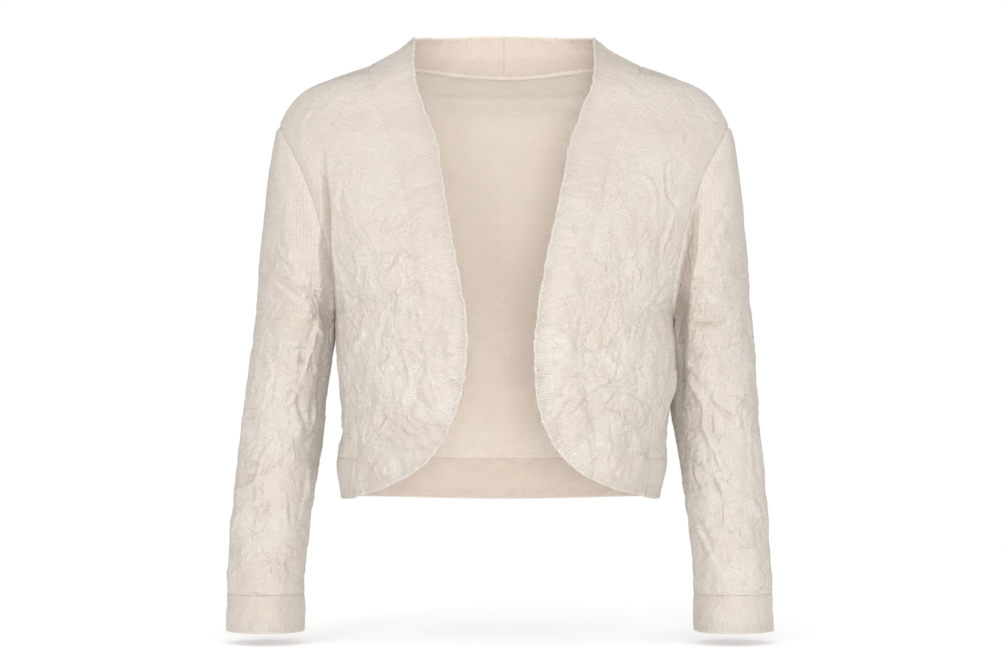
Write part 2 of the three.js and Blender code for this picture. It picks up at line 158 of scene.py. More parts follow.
# A front band, station by station from the side of the neck to the side seam: its free edge and its seam.
# skew: how much nearer the middle it lies on the wearer's left, and further from it on the right.
BAND = Table(
    "station edge_x edge_z seam_x seam_z skew",
    [0, 84, BAND_TOP_SIDE_Z, 127, NECK_Z, 0],
    [1, 84, 12, 127, SHOULDER_NECK_Z, 0],
    [2, 82, -12, 122, -22, 0],
    [3, 73, -37, 113, SHOULDER_POINT_Z, 0],
    [4, 60, -76, 100, -88, 0.5],
    [5, 51, -128, 88, -136, 1.5],
    [6, 41, -177, 80, -184, 2.3],
    [7, 33, -223, 73, UNDERARM_Z, 2.3],
    [8, 30, -260, 70, -261, 3],
    [9, 34, -303, 75, -295, 4.8],
    [10, 46, -340, 83, -320, 6.4],
    [11, 71, -371, 97, -340, 6.2],
    [12, 105, -390, 119, -355, 4],
    [13, 135, HEM_CORNER_Z, 137, HEM_SEAM_Z, 0],
)
LAST_STATION = 13
# The stations between which a front is sewn to its band.
FRONT_FIRST = 1.01
FRONT_LAST = 12.9

SHOULDER_SEAM = Table(
    "z turn",
    [SHOULDER_NECK_Z, 126],
    [-8, 115],
    [-12, 104],
    [-17, 96],
    [-24, 92],
    [-35, 90],
    [SHOULDER_POINT_Z, 90],
)
SIDE_SEAM = Table(
    "z x",
    [UNDERARM_Z, 160],
    [-260, 155],
    [-300, 147],
    [-335, 139],
    [HEM_SEAM_Z, 137],
    [HEM_CORNER_Z, 135],
)

# One row for each ring of a sleeve, from the first below the armhole to the end of the cuff.
RINGS = [
    dict(zip("outer_x outer_z inner_x inner_z depth middle_y".split(), row))
    for row in [
        [221, -84, 166, -238, 110, 2],
        [228, -140, 164.5, -258, 106, 7],
        [233, -195, 164, -283, 101, 13],
        [238, -250, 164.5, -310, 96, 17],
        [244, -310, 166, -336, 92, 17],
        [250, -366, 171, -366, 88, 14],
        [255, -420, 179, -420, 84, 10],
        [258, -470, 184, -470, 79, 7],
        [259, -494, 185, -494, 77, 6],
        [260, -530, 185, -530, 76, 5],
    ]
]
CUFF_SECTION = 9
LAST_SECTION = 10
HANG_Z = -350  # where a sleeve has swung all the way
SLEEVE_ARC = 0.75  # how much cloth goes round the arm for each degree
AROUND_ARM = 360 * SLEEVE_ARC
UNDERARM_ANGLE = 182
BODY_RADIUS = 175  # for lengths round the body

SIGN = {"left": 1, "right": -1}
SWING = {"left": -4, "right": 4}  # how far each sleeve hangs outward of the plain form

# --------------------------------------------------
# Creases, listed one by one. Each row is a width, a height (a trough under 0) and then the places that the
# crease runs through. A place is an x and a depth below z 0 on the body, and an angle round the arm and a
# depth on a sleeve.

FRONT_CREASES = [
    # The wearer's right front.
    (2.2, 1.4, -91, 171, -107, 197, -124, 205),
    (2, -1.1, -91, 171, -76, 184, -61, 191),
    (2, 1.4, -109, 236, -100, 213, -88, 204, -74, 206),
    (2, -1.4, -94, 208, -107, 229, -116, 262),
    (2.3, 1.5, -102, 246, -88, 270, -86, 288, -96, 312),
    (2, -0.9, -53, 212, -49, 229, -58, 274),
    (2.4, -1.3, -147, 325, -129, 292),
    (2, 1.2, -136, 352, -114, 335),
    (2, 1.4, -118, 317, -98, 328, -81, 339, -51, 318),
    (2, -1.1, -127, 380, -116, 358),
    (2, 1.1, -127, 387, -98, 373),
    (2, 1, -128, 228, -136, 262, -131, 286),
    (2.4, -1, -140, 232, -148, 270),
    (2, -1.2, -112, 286, -126, 300, -134, 318),
    (1.9, 1, -104, 318, -112, 340),
    (1.9, -0.9, -72, 292, -66, 314),
    (2, 0.9, -141, 166, -133, 190, -141, 212),
    (2.4, -0.8, -146, 96, -151, 128, -147, 160),
    (1.8, -1, -78, 228, -84, 246),
    (2, -0.9, -62, 348, -84, 356, -98, 352),
    # The wearer's left front.
    (2, 0.9, 109, 90, 126, 83),
    (1.9, 1.4, 107, 112, 126, 101, 138, 117, 141, 144),
    (2, -1.3, 166, 82, 152, 92, 150, 116, 159, 131, 167, 146),
    (2, 1.4, 159, 131, 152, 152, 146, 192),
    (2, -0.9, 170, 58, 166, 78),
    (1.8, -0.8, 96, 99, 91, 122, 88, 142),
    (1.9, 0.8, 96, 144, 97, 173),
    (1.9, -0.7, 64, 140, 66, 166),
    (1.7, -1.1, 78, 176, 94, 189, 78, 194),
    (1.8, 1.1, 117, 185, 123, 193, 121, 207),
    (1.7, -1, 137, 215, 138, 228),
    (1.7, 0.8, 130, 226, 138, 221, 147, 226),
    (1.8, -1, 49, 238, 58, 250, 70, 266),
    (1.9, 1.4, 88, 234, 94, 251, 92, 269),
    (1.7, -1.1, 104, 234, 103, 250),
    (1.7, 1, 120, 236, 119, 254),
    (1.8, -1.3, 71, 294, 76, 304, 59, 322),
    (1.9, 1.5, 75, 304, 98, 286, 106, 262),
    (1.7, -1.1, 86, 307, 99, 298),
    (1.8, 1, 125, 279, 142, 271),
    (1.9, -1, 151, 279, 150, 296),
    (1.8, -1.1, 130, 313, 135, 334),
    (1.9, -1, 112, 262, 124, 292, 118, 316),
    (1.9, 1, 98, 322, 112, 334, 126, 348),
    (1.9, 0.8, 52, 344, 72, 354, 92, 352),
    (1.9, 0.9, 134, 240, 146, 262),
]

BACK_CREASES = [
    (7, -1.2, -108, 58, -70, 84, -28, 97),
    (7, -1.1, 122, 68, 82, 96, 40, 112),
    (5, 0.9, -2, 148, -9, 190, -12, 232),
    (4.5, 1.4, -148, 188, -120, 214, -88, 252),
    (4.5, 1.4, 146, 198, 124, 226, 98, 264),
    (4, -1.3, -60, 268, -44, 306, -18, 342),
    (4, 1.3, 72, 283, 58, 318, 38, 352),
    (4, 1.4, -132, 328, -106, 348, -78, 374),
    (4, -1.3, 132, 320, 112, 342, 94, 362),
    (3, 1.1, 10, 381, 22, 370, 30, 352),
    (3, -1, 12, 376, -6, 362),
    (4, -0.9, -30, 222, -62, 244, -84, 282),
    (4, 0.9, 34, 190, 66, 214, 80, 250),
    (4.5, 0.8, -96, 128, -74, 150, -66, 182),
    (4.5, -0.8, 108, 134, 92, 158, 86, 186),
    (3.5, -1.2, -138, 262, -122, 292, -128, 318),
    (3.5, 1.2, 140, 272, 126, 296, 130, 318),
]

LEFT_SLEEVE_CREASES = [
    (3, 1, 73, 113, 64, 109),
    (3.6, -1.7, 55, 119, 89, 160, 112, 184),
    (3, 1.3, 75, 129, 96, 159),
    (3, 1.4, 88, 198, 48, 196, 9, 190),
    (3, -1.5, 141, 240, 100, 240, 62, 234),
    (3, 1.3, 82, 290, 40, 287),
    (3.2, 2.1, 133, 291, 107, 317, 109, 338, 90, 378),
    (3, -1.4, 168, 259, 134, 285),
    (2.8, -1.6, 102, 311, 62, 331),
    (2.6, 1.5, 63, 324, 62, 338),
    (2.8, -1.4, 113, 382, 101, 400),
    (3, 1.6, 156, 419, 116, 460),
    (3, -1.4, 102, 429, 72, 458),
    (3, -1.2, 36, 232, 22, 262),
    (3, 1.3, 30, 322, 50, 352, 44, 380),
    (3, -1.3, 128, 352, 140, 380, 128, 402),
    (2.8, 1.2, 50, 410, 32, 432),
    (2.8, 1.3, 96, 262, 120, 272),
    (3.6, -1.4, 280, 148, 308, 172, 337, 191),
    (3.2, 1.6, 223, 248, 246, 272, 270, 290),
    (3, -1.5, 288, 238, 312, 254, 332, 262),
    (3.2, 1.8, 248, 328, 276, 352, 302, 372),
    (3, 1.3, 313, 298, 334, 318, 352, 337),
    (3, -1.5, 238, 398, 268, 420, 292, 442),
    (3, 1.5, 298, 418, 322, 442, 342, 462),
    (3, 1.2, 262, 200, 282, 222, 276, 246),
    (2.8, -1.3, 230, 300, 242, 322),
    (3, -1.3, 300, 340, 322, 366, 316, 392),
    (3, 1.3, 214, 350, 232, 376, 226, 402),
    (2.8, 1.2, 262, 452, 282, 474),
    (3, -1.2, 200, 402, 214, 430, 206, 458),
]

RIGHT_SLEEVE_CREASES = [
    (3, 1.3, 56, 168, 92, 182),
    (3, -1.5, 56, 196, 78, 204, 102, 217),
    (3.2, 2.2, 127, 240, 119, 262, 107, 291),
    (3, 1.5, 127, 240, 150, 258),
    (3, -1.4, 105, 255, 106, 295),
    (2.8, 1.4, 111, 300, 94, 319),
    (2.8, -1.5, 112, 303, 118, 322, 127, 340),
    (3.2, 2.1, 87, 344, 72, 371, 67, 385, 22, 400),
    (2.8, -1.5, 30, 372, 72, 369),
    (2.8, 1.5, 67, 385, 71, 406),
    (2.8, -1.3, 118, 404, 126, 430),
    (2.8, 1.4, 63, 440, 96, 434),
    (2.8, -1.3, 119, 463, 134, 476),
    (3, 1.2, 20, 252, 40, 282, 34, 312),
    (3, -1.3, 60, 262, 74, 288, 66, 318),
    (3, 1.5, 138, 282, 146, 312, 138, 342),
    (2.8, -1.2, 92, 404, 82, 424),
    (3, 1.3, 140, 372, 150, 402, 142, 428),
    (2.8, 1.2, 40, 416, 24, 440),
    (3.6, -1.4, 342, 148, 314, 166, 288, 187),
    (3.2, 1.6, 264, 244, 244, 264, 220, 284),
    (3, 1.5, 332, 250, 308, 266, 283, 278),
    (3.2, -1.7, 294, 316, 272, 336, 246, 354),
    (3, -1.3, 352, 328, 334, 346, 316, 364),
    (3, 1.7, 248, 390, 266, 412, 288, 434),
    (3, 1.5, 338, 422, 320, 440, 302, 460),
    (3, 1.3, 222, 312, 234, 338, 226, 362),
    (3, -1.3, 300, 206, 276, 226),
    (3, -1.3, 316, 384, 296, 406),
    (3, -1.2, 204, 392, 216, 420, 208, 450),
    (2.8, -1.2, 262, 452, 284, 468),
]

SLEEVE_CREASES = {"left": LEFT_SLEEVE_CREASES, "right": RIGHT_SLEEVE_CREASES}


# --------------------------------------------------
# Noise, the same on every run.

LATTICE = 97  # how many bumps until the noise repeats
FACET_SOFTNESS = 0.03
CREASING = 1.15  # how strongly the creases show
SLEEVE_CREASING = 1.35  # and how much more so on the sleeves
PRESSED_ANGLE = 148  # where round the arm a sleeve lies pressed against the body's front

# Each noise has its own seed, or the first of a run of seeds.
BODY_SEED = 11
BODY_STRAY_SEED, SLEEVE_STRAY_SEED = 71, 81
PANEL_SEAM_SEED, BAND_SEAM_SEED, ARMHOLE_SEED, GATHER_SEED = 91, 93, 95, 97
BAND_EDGE_SEED, HEM_EDGE_SEED = 23, 29
WAVE_SEED, RIPPLE_SEED = {"left": 17, "right": 19}, {"left": 27, "right": 29}
SLEEVE_SEED, CUFF_SEED = {"left": 31, "right": 51}, {"left": 41, "right": 61}

# Patches: their size, how high they stand, and their place in the run of seeds.
PATCHES = [(34, 2.6, 2), (17, 1.7, 4), (8, 0.7, 6)]
# Wrinkles: the size of the noise that leads them, how many lie on one bump of it, their width, length and
# height, and their place in the run of seeds.
WRINKLES = [
    (54, 4, 1.9, 19, 0.75, 8),
    (54, 4, 1.7, 17, -0.65, 10),
    (34, 3.5, 1.3, 12, 0.4, 12),
    (34, 3.5, 1.3, 12, -0.35, 14),
]


def smoothstep(x, low, high):
    t = np.clip((x - low) / (high - low), 0, 1)
    return t * t * (3 - 2 * t)


def plateau(x, start, full, fall, end):
    """Rises from 0 to 1 between start and full, and falls again between fall and end."""
    return smoothstep(x, start, full) * (1 - smoothstep(x, fall, end))


def bell(distance, width):
    return np.exp(-((distance / width) ** 2))


def bumps_round(around, size):
    """How many bumps of a size go round a tube. around is None on a flat sheet."""
    return around and round(around / size)


def fitted(size, around):
    """The size nearest to size of which a whole number goes round a tube."""
    return size if around is None else around / max(3, round(around / size))


def smooth_noise(u, v, size, seed, bumps=None):
    """Smooth noise, about -1 to 1, with bumps size apart. bumps: how many go round a tube."""
    angles = np.random.default_rng(seed).uniform(0, 2 * np.pi, (LATTICE, LATTICE))
    across, down = u / size, v / size
    i, j = np.floor(across).astype(int), np.floor(down).astype(int)
    along_u, along_v = across - i, down - j

    def corner(di, dj):
        angle = angles[(i + di) % (bumps or LATTICE), (j + dj) % LATTICE]
        return np.cos(angle) * (along_u - di) + np.sin(angle) * (along_v - dj)

    blend_u, blend_v = (t**3 * (t * (t * 6 - 15) + 10) for t in (along_u, along_v))
    above = corner(0, 0) * (1 - blend_u) + corner(1, 0) * blend_u
    below = corner(0, 1) * (1 - blend_u) + corner(1, 1) * blend_u
    return 1.5 * (above * (1 - blend_v) + below * blend_v)


def facets(u, v, size, seed, bumps=None):
    """Tilted patches about size across that meet in soft valleys, about 0 to 1 high."""
    random = np.random.default_rng(seed)
    seats = random.uniform(0.1, 0.9, (2, LATTICE, LATTICE))
    tilts = random.uniform(-0.6, 0.6, (2, LATTICE, LATTICE))
    lifts = random.uniform(-0.15, 0.15, (LATTICE, LATTICE))
    across, down = u / size, v / size
    i, j = np.floor(across).astype(int), np.floor(down).astype(int)
    total = np.zeros_like(across)
    for di, dj in np.ndindex(5, 5):
        cell_i, cell_j = i + di - 2, j + dj - 2
        a, b = cell_i % (bumps or LATTICE), cell_j % LATTICE
        from_u, from_v = across - cell_i - seats[0, a, b], down - cell_j - seats[1, a, b]
        height = lifts[a, b] + tilts[0, a, b] * from_u + tilts[1, a, b] * from_v
        total += np.exp((height - 0.75 * (from_u**2 + from_v**2)) / FACET_SOFTNESS)
    return FACET_SOFTNESS * np.log(total)


def wrinkles(u, v, size, turns, width, length, seed, around=None):
    """Thin wrinkles, 0 to 1 high, in short stretches that run side by side. turns: how many lie on one bump
    of the noise that leads them."""

    def lead(step_u, step_v):
        return turns * smooth_noise(u + step_u, v + step_v, size, seed, bumps_round(around, size))

    phase = lead(0, 0)
    steepness = np.hypot(lead(0.5, 0) - phase, lead(0, 0.5) - phase) * 2
    away = np.abs(phase - np.round(phase)) / np.maximum(steepness, 0.02)
    broken = smooth_noise(u, v, length, seed + 1, bumps_round(around, length))
    return bell(away, width) * smoothstep(steepness, 0.015, 0.05) * smoothstep(broken, 0, 0.35)


def crumple(u, v, seed, around=None):
    """What a crushed fine knit does, at a strength of 1: tilted patches, and short wrinkles over them.
    around: the length round a tube."""
    size = fitted(48, around)
    shift_u, shift_v = (5 * smooth_noise(u, v, size, seed + k, bumps_round(around, size)) for k in (0, 1))
    u, v = u + shift_u, v + shift_v
    total = np.zeros_like(u)
    for size, height, offset in PATCHES:
        size = fitted(size, around)
        bumps = bumps_round(around, size)
        total += height * facets(u, v, size, seed + offset, bumps)
        total -= height * facets(u, v, size, seed + offset + 1, bumps)
    for size, turns, width, length, height, offset in WRINKLES:
        size, length = fitted(size, around), fitted(length, around)
        total += height * wrinkles(u, v, size, turns, width, length, seed + offset, around)
    return total


# --------------------------------------------------
# Relief: folds, creases and seams, as heights over the form.


def nearest_step(step, period):
    return step if period is None else step - period * np.round(step / period)


def crease_line(places, unit):
    """A smooth curve through a crease's places."""
    points = np.reshape(places, (-1, 2)) * (unit, -1)
    spacing = np.linalg.norm(np.diff(points, axis=0), axis=1)
    along = np.concatenate([[0], np.cumsum(spacing)])
    return curve_through(along, points)(np.linspace(0, along[-1], 4 * len(spacing) + 1))


def crease_height(creases, across, z, unit=1, period=None):
    """Each crease is a narrow crest with a shallow trough on one side, and fades towards its ends. unit: how
    much cloth one step across is. period: how many steps go round a tube."""
    total = np.zeros_like(z)
    for number, (width, height, *places) in enumerate(creases):
        line = crease_line(places, unit)
        middle = line.mean(axis=0)
        reach = np.abs(line - middle).max() + 5 * width
        step = nearest_step(across * unit - middle[0], period and period * unit)
        near = (np.abs(step) < reach) & (np.abs(z - middle[1]) < reach)
        if not near.any():
            continue
        place = np.stack([step[near], z[near] - middle[1]], -1)
        best = np.full(len(place), np.inf)
        side, along = np.zeros_like(best), np.zeros_like(best)
        for index, (start, end) in enumerate(zip(line[:-1] - middle, line[1:] - middle)):
            run = end - start
            share = np.clip((place - start) @ run / (run @ run), 0, 1)
            away = np.linalg.norm(place - start - share[:, None] * run, axis=1)
            turned = (place[:, 0] - start[0]) * run[1] - (place[:, 1] - start[1]) * run[0]
            closer = away < best
            best = np.where(closer, away, best)
            side = np.where(closer, np.sign(turned), side)
            along = np.where(closer, (index + share) / (len(line) - 1), along)
        fade = np.sin(np.pi * np.clip(along, 0.04, 0.96)) ** 0.8 * (1 + 0.3 * np.sin(9 * along + number))
        crest = bell(best, width)
        lee = 0.55 * bell(side * best - 1.9 * width, 1.3 * width)
        total[near] += height * fade * (crest - lee)
    return total


def stray(u, v, size, seed, bumps=None):
    """How far a crease strays from its smooth line, across and along."""
    return (2.5 * smooth_noise(u, v, size, seed + k, bumps) for k in (0, 1))


def body_relief(turn, z):
    """How far the cloth of the body lies outside its plain form. It is calm at the sides, more crumpled
    lower down, and flatter under the back of the neck."""
    x = body_point(turn, z)[..., 0]
    along = np.cos(np.radians(turn))
    behind = along > 0
    stray_x, stray_z = stray(x + 500, z, 26, BODY_STRAY_SEED)
    place = x + stray_x, z + stray_z
    creases = np.where(behind, crease_height(BACK_CREASES, *place), crease_height(FRONT_CREASES, *place))
    calm = smoothstep(np.abs(along), 0.05, 0.35)
    lower = smoothstep(-z, 60, 220)
    at_hem_side = smoothstep(-z, 335, 370) * (1 - smoothstep(np.abs(along), 0.15, 0.5))
    strength = np.where(behind, 0.35 + 0.35 * lower, 0.4 + 0.8 * lower) * (1 - 0.7 * at_hem_side)
    crumpled = strength * crumple(BODY_RADIUS * np.radians(turn) + 600, -z, BODY_SEED)
    flatter = np.where(behind, 2.5 * bell(z + 18, 15) * along**2, 0)
    return calm * CREASING * creases + crumpled - flatter


def sleeve_relief(side, angle, z, section):
    """How far the cloth of a sleeve lies outside its plain form. It is calm at both ends and next to the
    body, and more crumpled lower down."""
    u = np.mod(angle, 360) * SLEEVE_ARC
    outward = np.cos(np.radians(angle))
    stray_u, stray_z = stray(u, -z, AROUND_ARM / 11, SLEEVE_STRAY_SEED, 11)
    place = angle + stray_u / SLEEVE_ARC, z + stray_z
    creases = crease_height(SLEEVE_CREASES[side], *place, SLEEVE_ARC, 360)
    calm = plateau(section, 0.3, 2, 8.3, CUFF_SECTION)
    free = 1 - smoothstep(outward, -0.55, -0.95) * (1 - smoothstep(-z, 290, 330))
    lower = smoothstep(-z, 120, 270)
    strength = (0.65 + 0.6 * lower) * (0.35 + 0.65 * free) * (1 - 0.45 * outward**4)
    pressed = 3.5 * bell(nearest_step(angle - PRESSED_ANGLE, 360) * SLEEVE_ARC, 8)
    pressed *= plateau(-z, 135, 180, 300, 345)
    crumpled = strength * crumple(u, -z, SLEEVE_SEED[side], AROUND_ARM)
    return SLEEVE_CREASING * calm * CREASING * creases * free + crumpled - pressed


# --------------------------------------------------
# The body's form. turn is in degrees round the body: 0 at the centre back, 90 at the wearer's left side
# line, 180 at the centre front, and negative on the wearer's right.


def body_point(turn, z):
    turn, z = np.broadcast_arrays(np.asarray(turn, float), np.asarray(z, float))
    along, across = np.cos(np.radians(turn)), np.sin(np.radians(turn))
    behind = along > 0
    side_y = BODY.side_y(z)
    reach = np.where(behind, BODY.back(z) - side_y, BODY.front(z) + side_y)
    squareness = np.where(behind, BACK_SQUARENESS, FRONT_SQUARENESS)
    y = side_y + reach * along * (1 + squareness * across**2)
    drop = np.where(behind, BODY.dip(z) * along**2, 0)
    lean = np.where(across > 0, LEAN.body_left(z), -LEAN.body_right(z))
    return np.stack([BODY.half(z) * across + lean * across**2, y, z - drop], -1)


def body_facing(turn, z):
    across = body_point(turn + 0.5, z) - body_point(turn - 0.5, z)
    down = body_point(turn, z - 0.5) - body_point(turn, z + 0.5)
    return unit_vectors(np.cross(across, down))


def unit_vectors(v):
    return v / np.linalg.norm(v, axis=-1, keepdims=True)


def front_turn(x, z):
    return 180 - np.degrees(np.arcsin(np.minimum(1, x / BODY.half(z))))


def armhole_share(z):
    middle = (SHOULDER_POINT_Z + UNDERARM_Z) / 2
    height = np.clip((z - middle) / (SHOULDER_POINT_Z - middle), -1, 1)
    return np.sqrt(1 - height**2) ** ARMHOLE_SHARPNESS


STATIONS = np.linspace(0, LAST_STATION, 3000)
STATION_HEIGHTS = BAND.seam_z(STATIONS)


def station_of_height(z):
    """The station at which a front band's seam reaches a height."""
    return np.interp(-z, -STATION_HEIGHTS, STATIONS)


def outer_turn(z, is_back):
    """The turn where the back ends, and where a front starts, at a height."""
    armhole = -ARMHOLE_BACK_TURN if is_back else ARMHOLE_FRONT_TURN
    return np.select(
        [z >= SHOULDER_NECK_Z, z >= SHOULDER_POINT_Z, z > UNDERARM_Z],
        [
            front_turn(BAND.seam_x(station_of_height(z)), z),
            SHOULDER_SEAM.turn(z),
            90 + armhole * armhole_share(z),
        ],
        90 + (front_turn(SIDE_SEAM.x(z), z) - 90) * smoothstep(UNDERARM_Z - z, 0, 16),
    )


def seam_x(station, side):
    return BAND.seam_x(station) - SIGN[side] * BAND.skew(station)


# --------------------------------------------------
# Shells.

# How thick each is.
CLOTH = 1.1
RIB = 2.2
# How many rows and columns a piece's mesh has.
BACK_ROWS, BACK_COLUMNS = 200, 200
FRONT_ROWS, FRONT_SIDE_COLUMNS, FRONT_MIDDLE_COLUMNS = 280, 22, 96
HEM_COLUMNS = 240
SLEEVE_ROWS, SLEEVE_COLUMNS, CUFF_COLUMNS = 228, 192, 200
# The turns, and the angle round the arm, at which the rows are spaced out.
BACK_LINE, FRONT_LINE, SLEEVE_LINE = 60, 125, 45

EDGE_STEPS = np.array([0, 0.05, 0.2, 0.5, 0.9, 1.5])  # close rows for a strip's rounded edges
UNDER = 0.8  # how far a panel's edge runs on under its band
NECK_RISE = 4  # how far the seam at the back of the neck rises from its middle to each side
ARMHOLE_FILL = {"left": 2.0, "right": 4.5}  # how far the cloth comes forward beside each armhole
SLEEVE_TUCK = 3.3  # how far a sleeve's edge lies under the panels
FLUSH = (RIB - CLOTH) / 2  # how far a rib strip lies in, so that its face is level with the cloth's
CORNER_DROP = 2.4  # how far the band's corner at the side of the neck is rounded down


def grid_facing(middle, outward, wrap):
    """Unit normals of a grid of points, on the side that outward points to."""
    if wrap:
        across = np.roll(middle, -1, axis=1) - np.roll(middle, 1, axis=1)
    else:
        across = np.gradient(middle, axis=1)
    down = np.gradient(middle, axis=0)
    facing = unit_vectors(np.cross(across, down))
    return facing * np.sign(np.sum(facing * outward, axis=-1, keepdims=True))


def shell(name, middle, outward, thickness, uv, wrap=False, ridge=0):
    """A closed shell round a grid of points. uv has one more column than a wrapped grid. ridge: how much
    further the inner side stands in."""
    rows, columns = middle.shape[:2]
    facing = grid_facing(middle, outward, wrap)
    half = np.broadcast_to(np.asarray(thickness, float) / 2, (rows, columns))[..., None]
    inward = half + np.broadcast_to(np.asarray(ridge, float), (rows, columns))[..., None]
    points = np.concatenate([middle + facing * half, middle - facing * inward]).reshape(-1, 3)

    last = columns if wrap else columns - 1
    row, column = np.meshgrid(np.arange(rows - 1), np.arange(last), indexing="ij")
    row, column = row.ravel(), column.ravel()

    def index(layer, at_row, at_column):
        return (layer * rows + at_row) * columns + at_column % columns

    def corners(at):
        places = (row, column), (row, column + 1), (row + 1, column + 1), (row + 1, column)
        return np.stack([at(*place) for place in places], 1)

    outer = corners(lambda r, c: index(0, r, c))
    inner = corners(lambda r, c: index(1, r, c))[:, ::-1]
    on_grid = corners(lambda r, c: r * uv.shape[1] + c)
    quads, marks = [outer, inner], [on_grid, on_grid[:, ::-1]]

    def rim(r0, c0, r1, c1):
        places = (0, r1, c1), (0, r0, c0), (1, r0, c0), (1, r1, c1)
        quads.append(np.stack([index(*place) for place in places], 1))
        first, second = r0 * uv.shape[1] + c0, r1 * uv.shape[1] + c1
        marks.append(np.stack([second, first, first, second], 1))

    c, top = np.arange(last), np.zeros(last, int)
    rim(top, c, top, c + 1)
    rim(top + rows - 1, c + 1, top + rows - 1, c)
    if not wrap:
        r, left = np.arange(rows - 1), np.zeros(rows - 1, int)
        rim(r + 1, left, r, left)
        rim(r, left + columns - 1, r + 1, left + columns - 1)
    quads, marks = np.concatenate(quads), np.concatenate(marks)

    a, b, c, d = (points[quads[: len(outer), k]] for k in range(4))
    seen = np.sum(np.cross(c - a, d - b) * outward[:-1, :last].reshape(-1, 3))
    if seen < 0:
        quads, marks = quads[:, ::-1], marks[:, ::-1]

    mesh = bpy.data.meshes.new(name)
    mesh.vertices.add(len(points))
    mesh.vertices.foreach_set("co", (points * MM).astype(np.float32).ravel())
    mesh.loops.add(quads.size)
    mesh.loops.foreach_set("vertex_index", quads.astype(np.int32).ravel())
    mesh.polygons.add(len(quads))
    mesh.polygons.foreach_set("loop_start", np.arange(0, quads.size, 4, dtype=np.int32))
    layer = mesh.uv_layers.new(name="cloth")
    layer.data.foreach_set("uv", (uv.reshape(-1, 2)[marks.ravel()] * MM).astype(np.float32).ravel())
    mesh.polygons.foreach_set("use_smooth", np.arange(len(quads)) < 2 * len(outer))
    is_inner = np.zeros(len(quads), np.int32)
    is_inner[len(outer) : 2 * len(outer)] = 1
    mesh.polygons.foreach_set("material_index", is_inner)
    mesh.update()
    mesh.validate()
    piece = bpy.data.objects.new(name, mesh)
    bpy.context.scene.collection.objects.link(piece)
    return piece


def lengths_along(points, axis):
    """The distance of each point from the first, measured along the cloth."""
    steps = np.linalg.norm(np.diff(points, axis=axis), axis=-1)
    start = np.zeros_like(np.take(steps, [0], axis=axis))
    return np.concatenate([start, np.cumsum(steps, axis=axis)], axis=axis)


def evenly(values, length, count):
    """Values read off at lengths that are evenly spaced."""
    return np.interp(np.linspace(0, length[-1], count), length, values)


def even_heights(top, bottom, turn, is_back, count):
    """Heights spaced evenly over the cloth, at one turn and along the panel's outer edge together."""
    z = np.linspace(top, bottom, 3000)
    outer = body_point(outer_turn(z, is_back), z)
    length = lengths_along(body_point(turn, z), 0) + lengths_along(outer, 0)
    return evenly(z, length, count + 1)


def even_turns(z, first, last, count):
    """For each row, turns spaced evenly over the cloth from its first to its last."""
    fine = np.linspace(0, 1, 161)
    turn = first[:, None] + (last - first)[:, None] * fine
    length = lengths_along(body_point(turn, z[:, None]), 1)
    share = length / length[:, -1:]
    even = np.linspace(0, 1, count + 1)
    return np.stack([np.interp(even, s, t) for s, t in zip(share, turn)])


def front_turns(z, first, last):
    """For each row of a front, its turns. Past the sharp corner under the arm only the columns at the side
    turn with the panel's edge, and the others keep their course."""
    depth = -z
    corner = [190, 300]
    across_corner = np.interp(depth, corner, np.interp(corner, depth, first))
    steady = np.where((depth > corner[0]) & (depth < corner[1]), across_corner, first) + 10
    share = np.interp(np.clip(depth, 60, 310), depth, (steady - first) / (last - first))
    pivot = first + share * (last - first)
    side_part = even_turns(z, first, pivot, FRONT_SIDE_COLUMNS)
    middle_part = even_turns(z, pivot, last, FRONT_MIDDLE_COLUMNS)
    return np.concatenate([side_part[:, :-1], middle_part], 1)


def distance_to(points, line):
    """The distance of each point from a line of close-set points."""
    flat = points.reshape(-1, points.shape[-1])
    best = np.full(len(flat), np.inf)
    for point in line:
        best = np.minimum(best, np.sum((flat - point) ** 2, axis=1))
    return np.sqrt(best).reshape(points.shape[:-1])


def strip_thickness(from_edge, full_share):
    """How thick a rib strip is: rounded at its free edge, and as thin as the cloth where it is sewn on."""
    radius = RIB / 2
    inside = np.clip(1 - from_edge / radius, 0, 1)
    rounded = RIB * np.sqrt(np.maximum(0.02, 1 - inside**2))
    return np.minimum(rounded, CLOTH + (RIB - CLOTH) * full_share)


def across_steps(width, count):
    """Places across a band from its free edge to its seam, closer together at both."""
    middle = np.linspace(EDGE_STEPS[-1], width - EDGE_STEPS[-1], count)[1:-1]
    return np.concatenate([EDGE_STEPS, middle, width - EDGE_STEPS[::-1]])


def seam_line(side):
    """Places along the seam of a front band, in the surface."""
    station = np.linspace(FRONT_FIRST, LAST_STATION, 260)
    z = BAND.seam_z(station)
    return body_point(SIGN[side] * front_turn(seam_x(station, side), z), z)


def outer_line(is_back, sign):
    """Places along the shoulder seam, armhole and side seam."""
    z = np.concatenate([np.linspace(SHOULDER_NECK_Z, -60, 60), np.linspace(-60, HEM_SEAM_Z, 240)])
    return body_point(sign * outer_turn(z, is_back), z)


def seam_dip(distance, along, seed, depth):
    """The cloth puckers beside a seam, and sinks into it by a depth."""
    pucker = smooth_noise(along, distance * 0.2 + 40, 6, seed) * np.minimum(1, depth / 0.2)
    return -depth * bell(distance, 1.4) + 0.4 * pucker * bell(distance, 7)


def sewn(relief, away, down, side, z):
    """A panel's relief, settled beside the shoulder seam, the armhole and the side seam."""
    seam = seam_dip(away, down + 300, PANEL_SEAM_SEED, armhole_depth(side, z))
    return relief * smoothstep(away, -2, 12) + seam


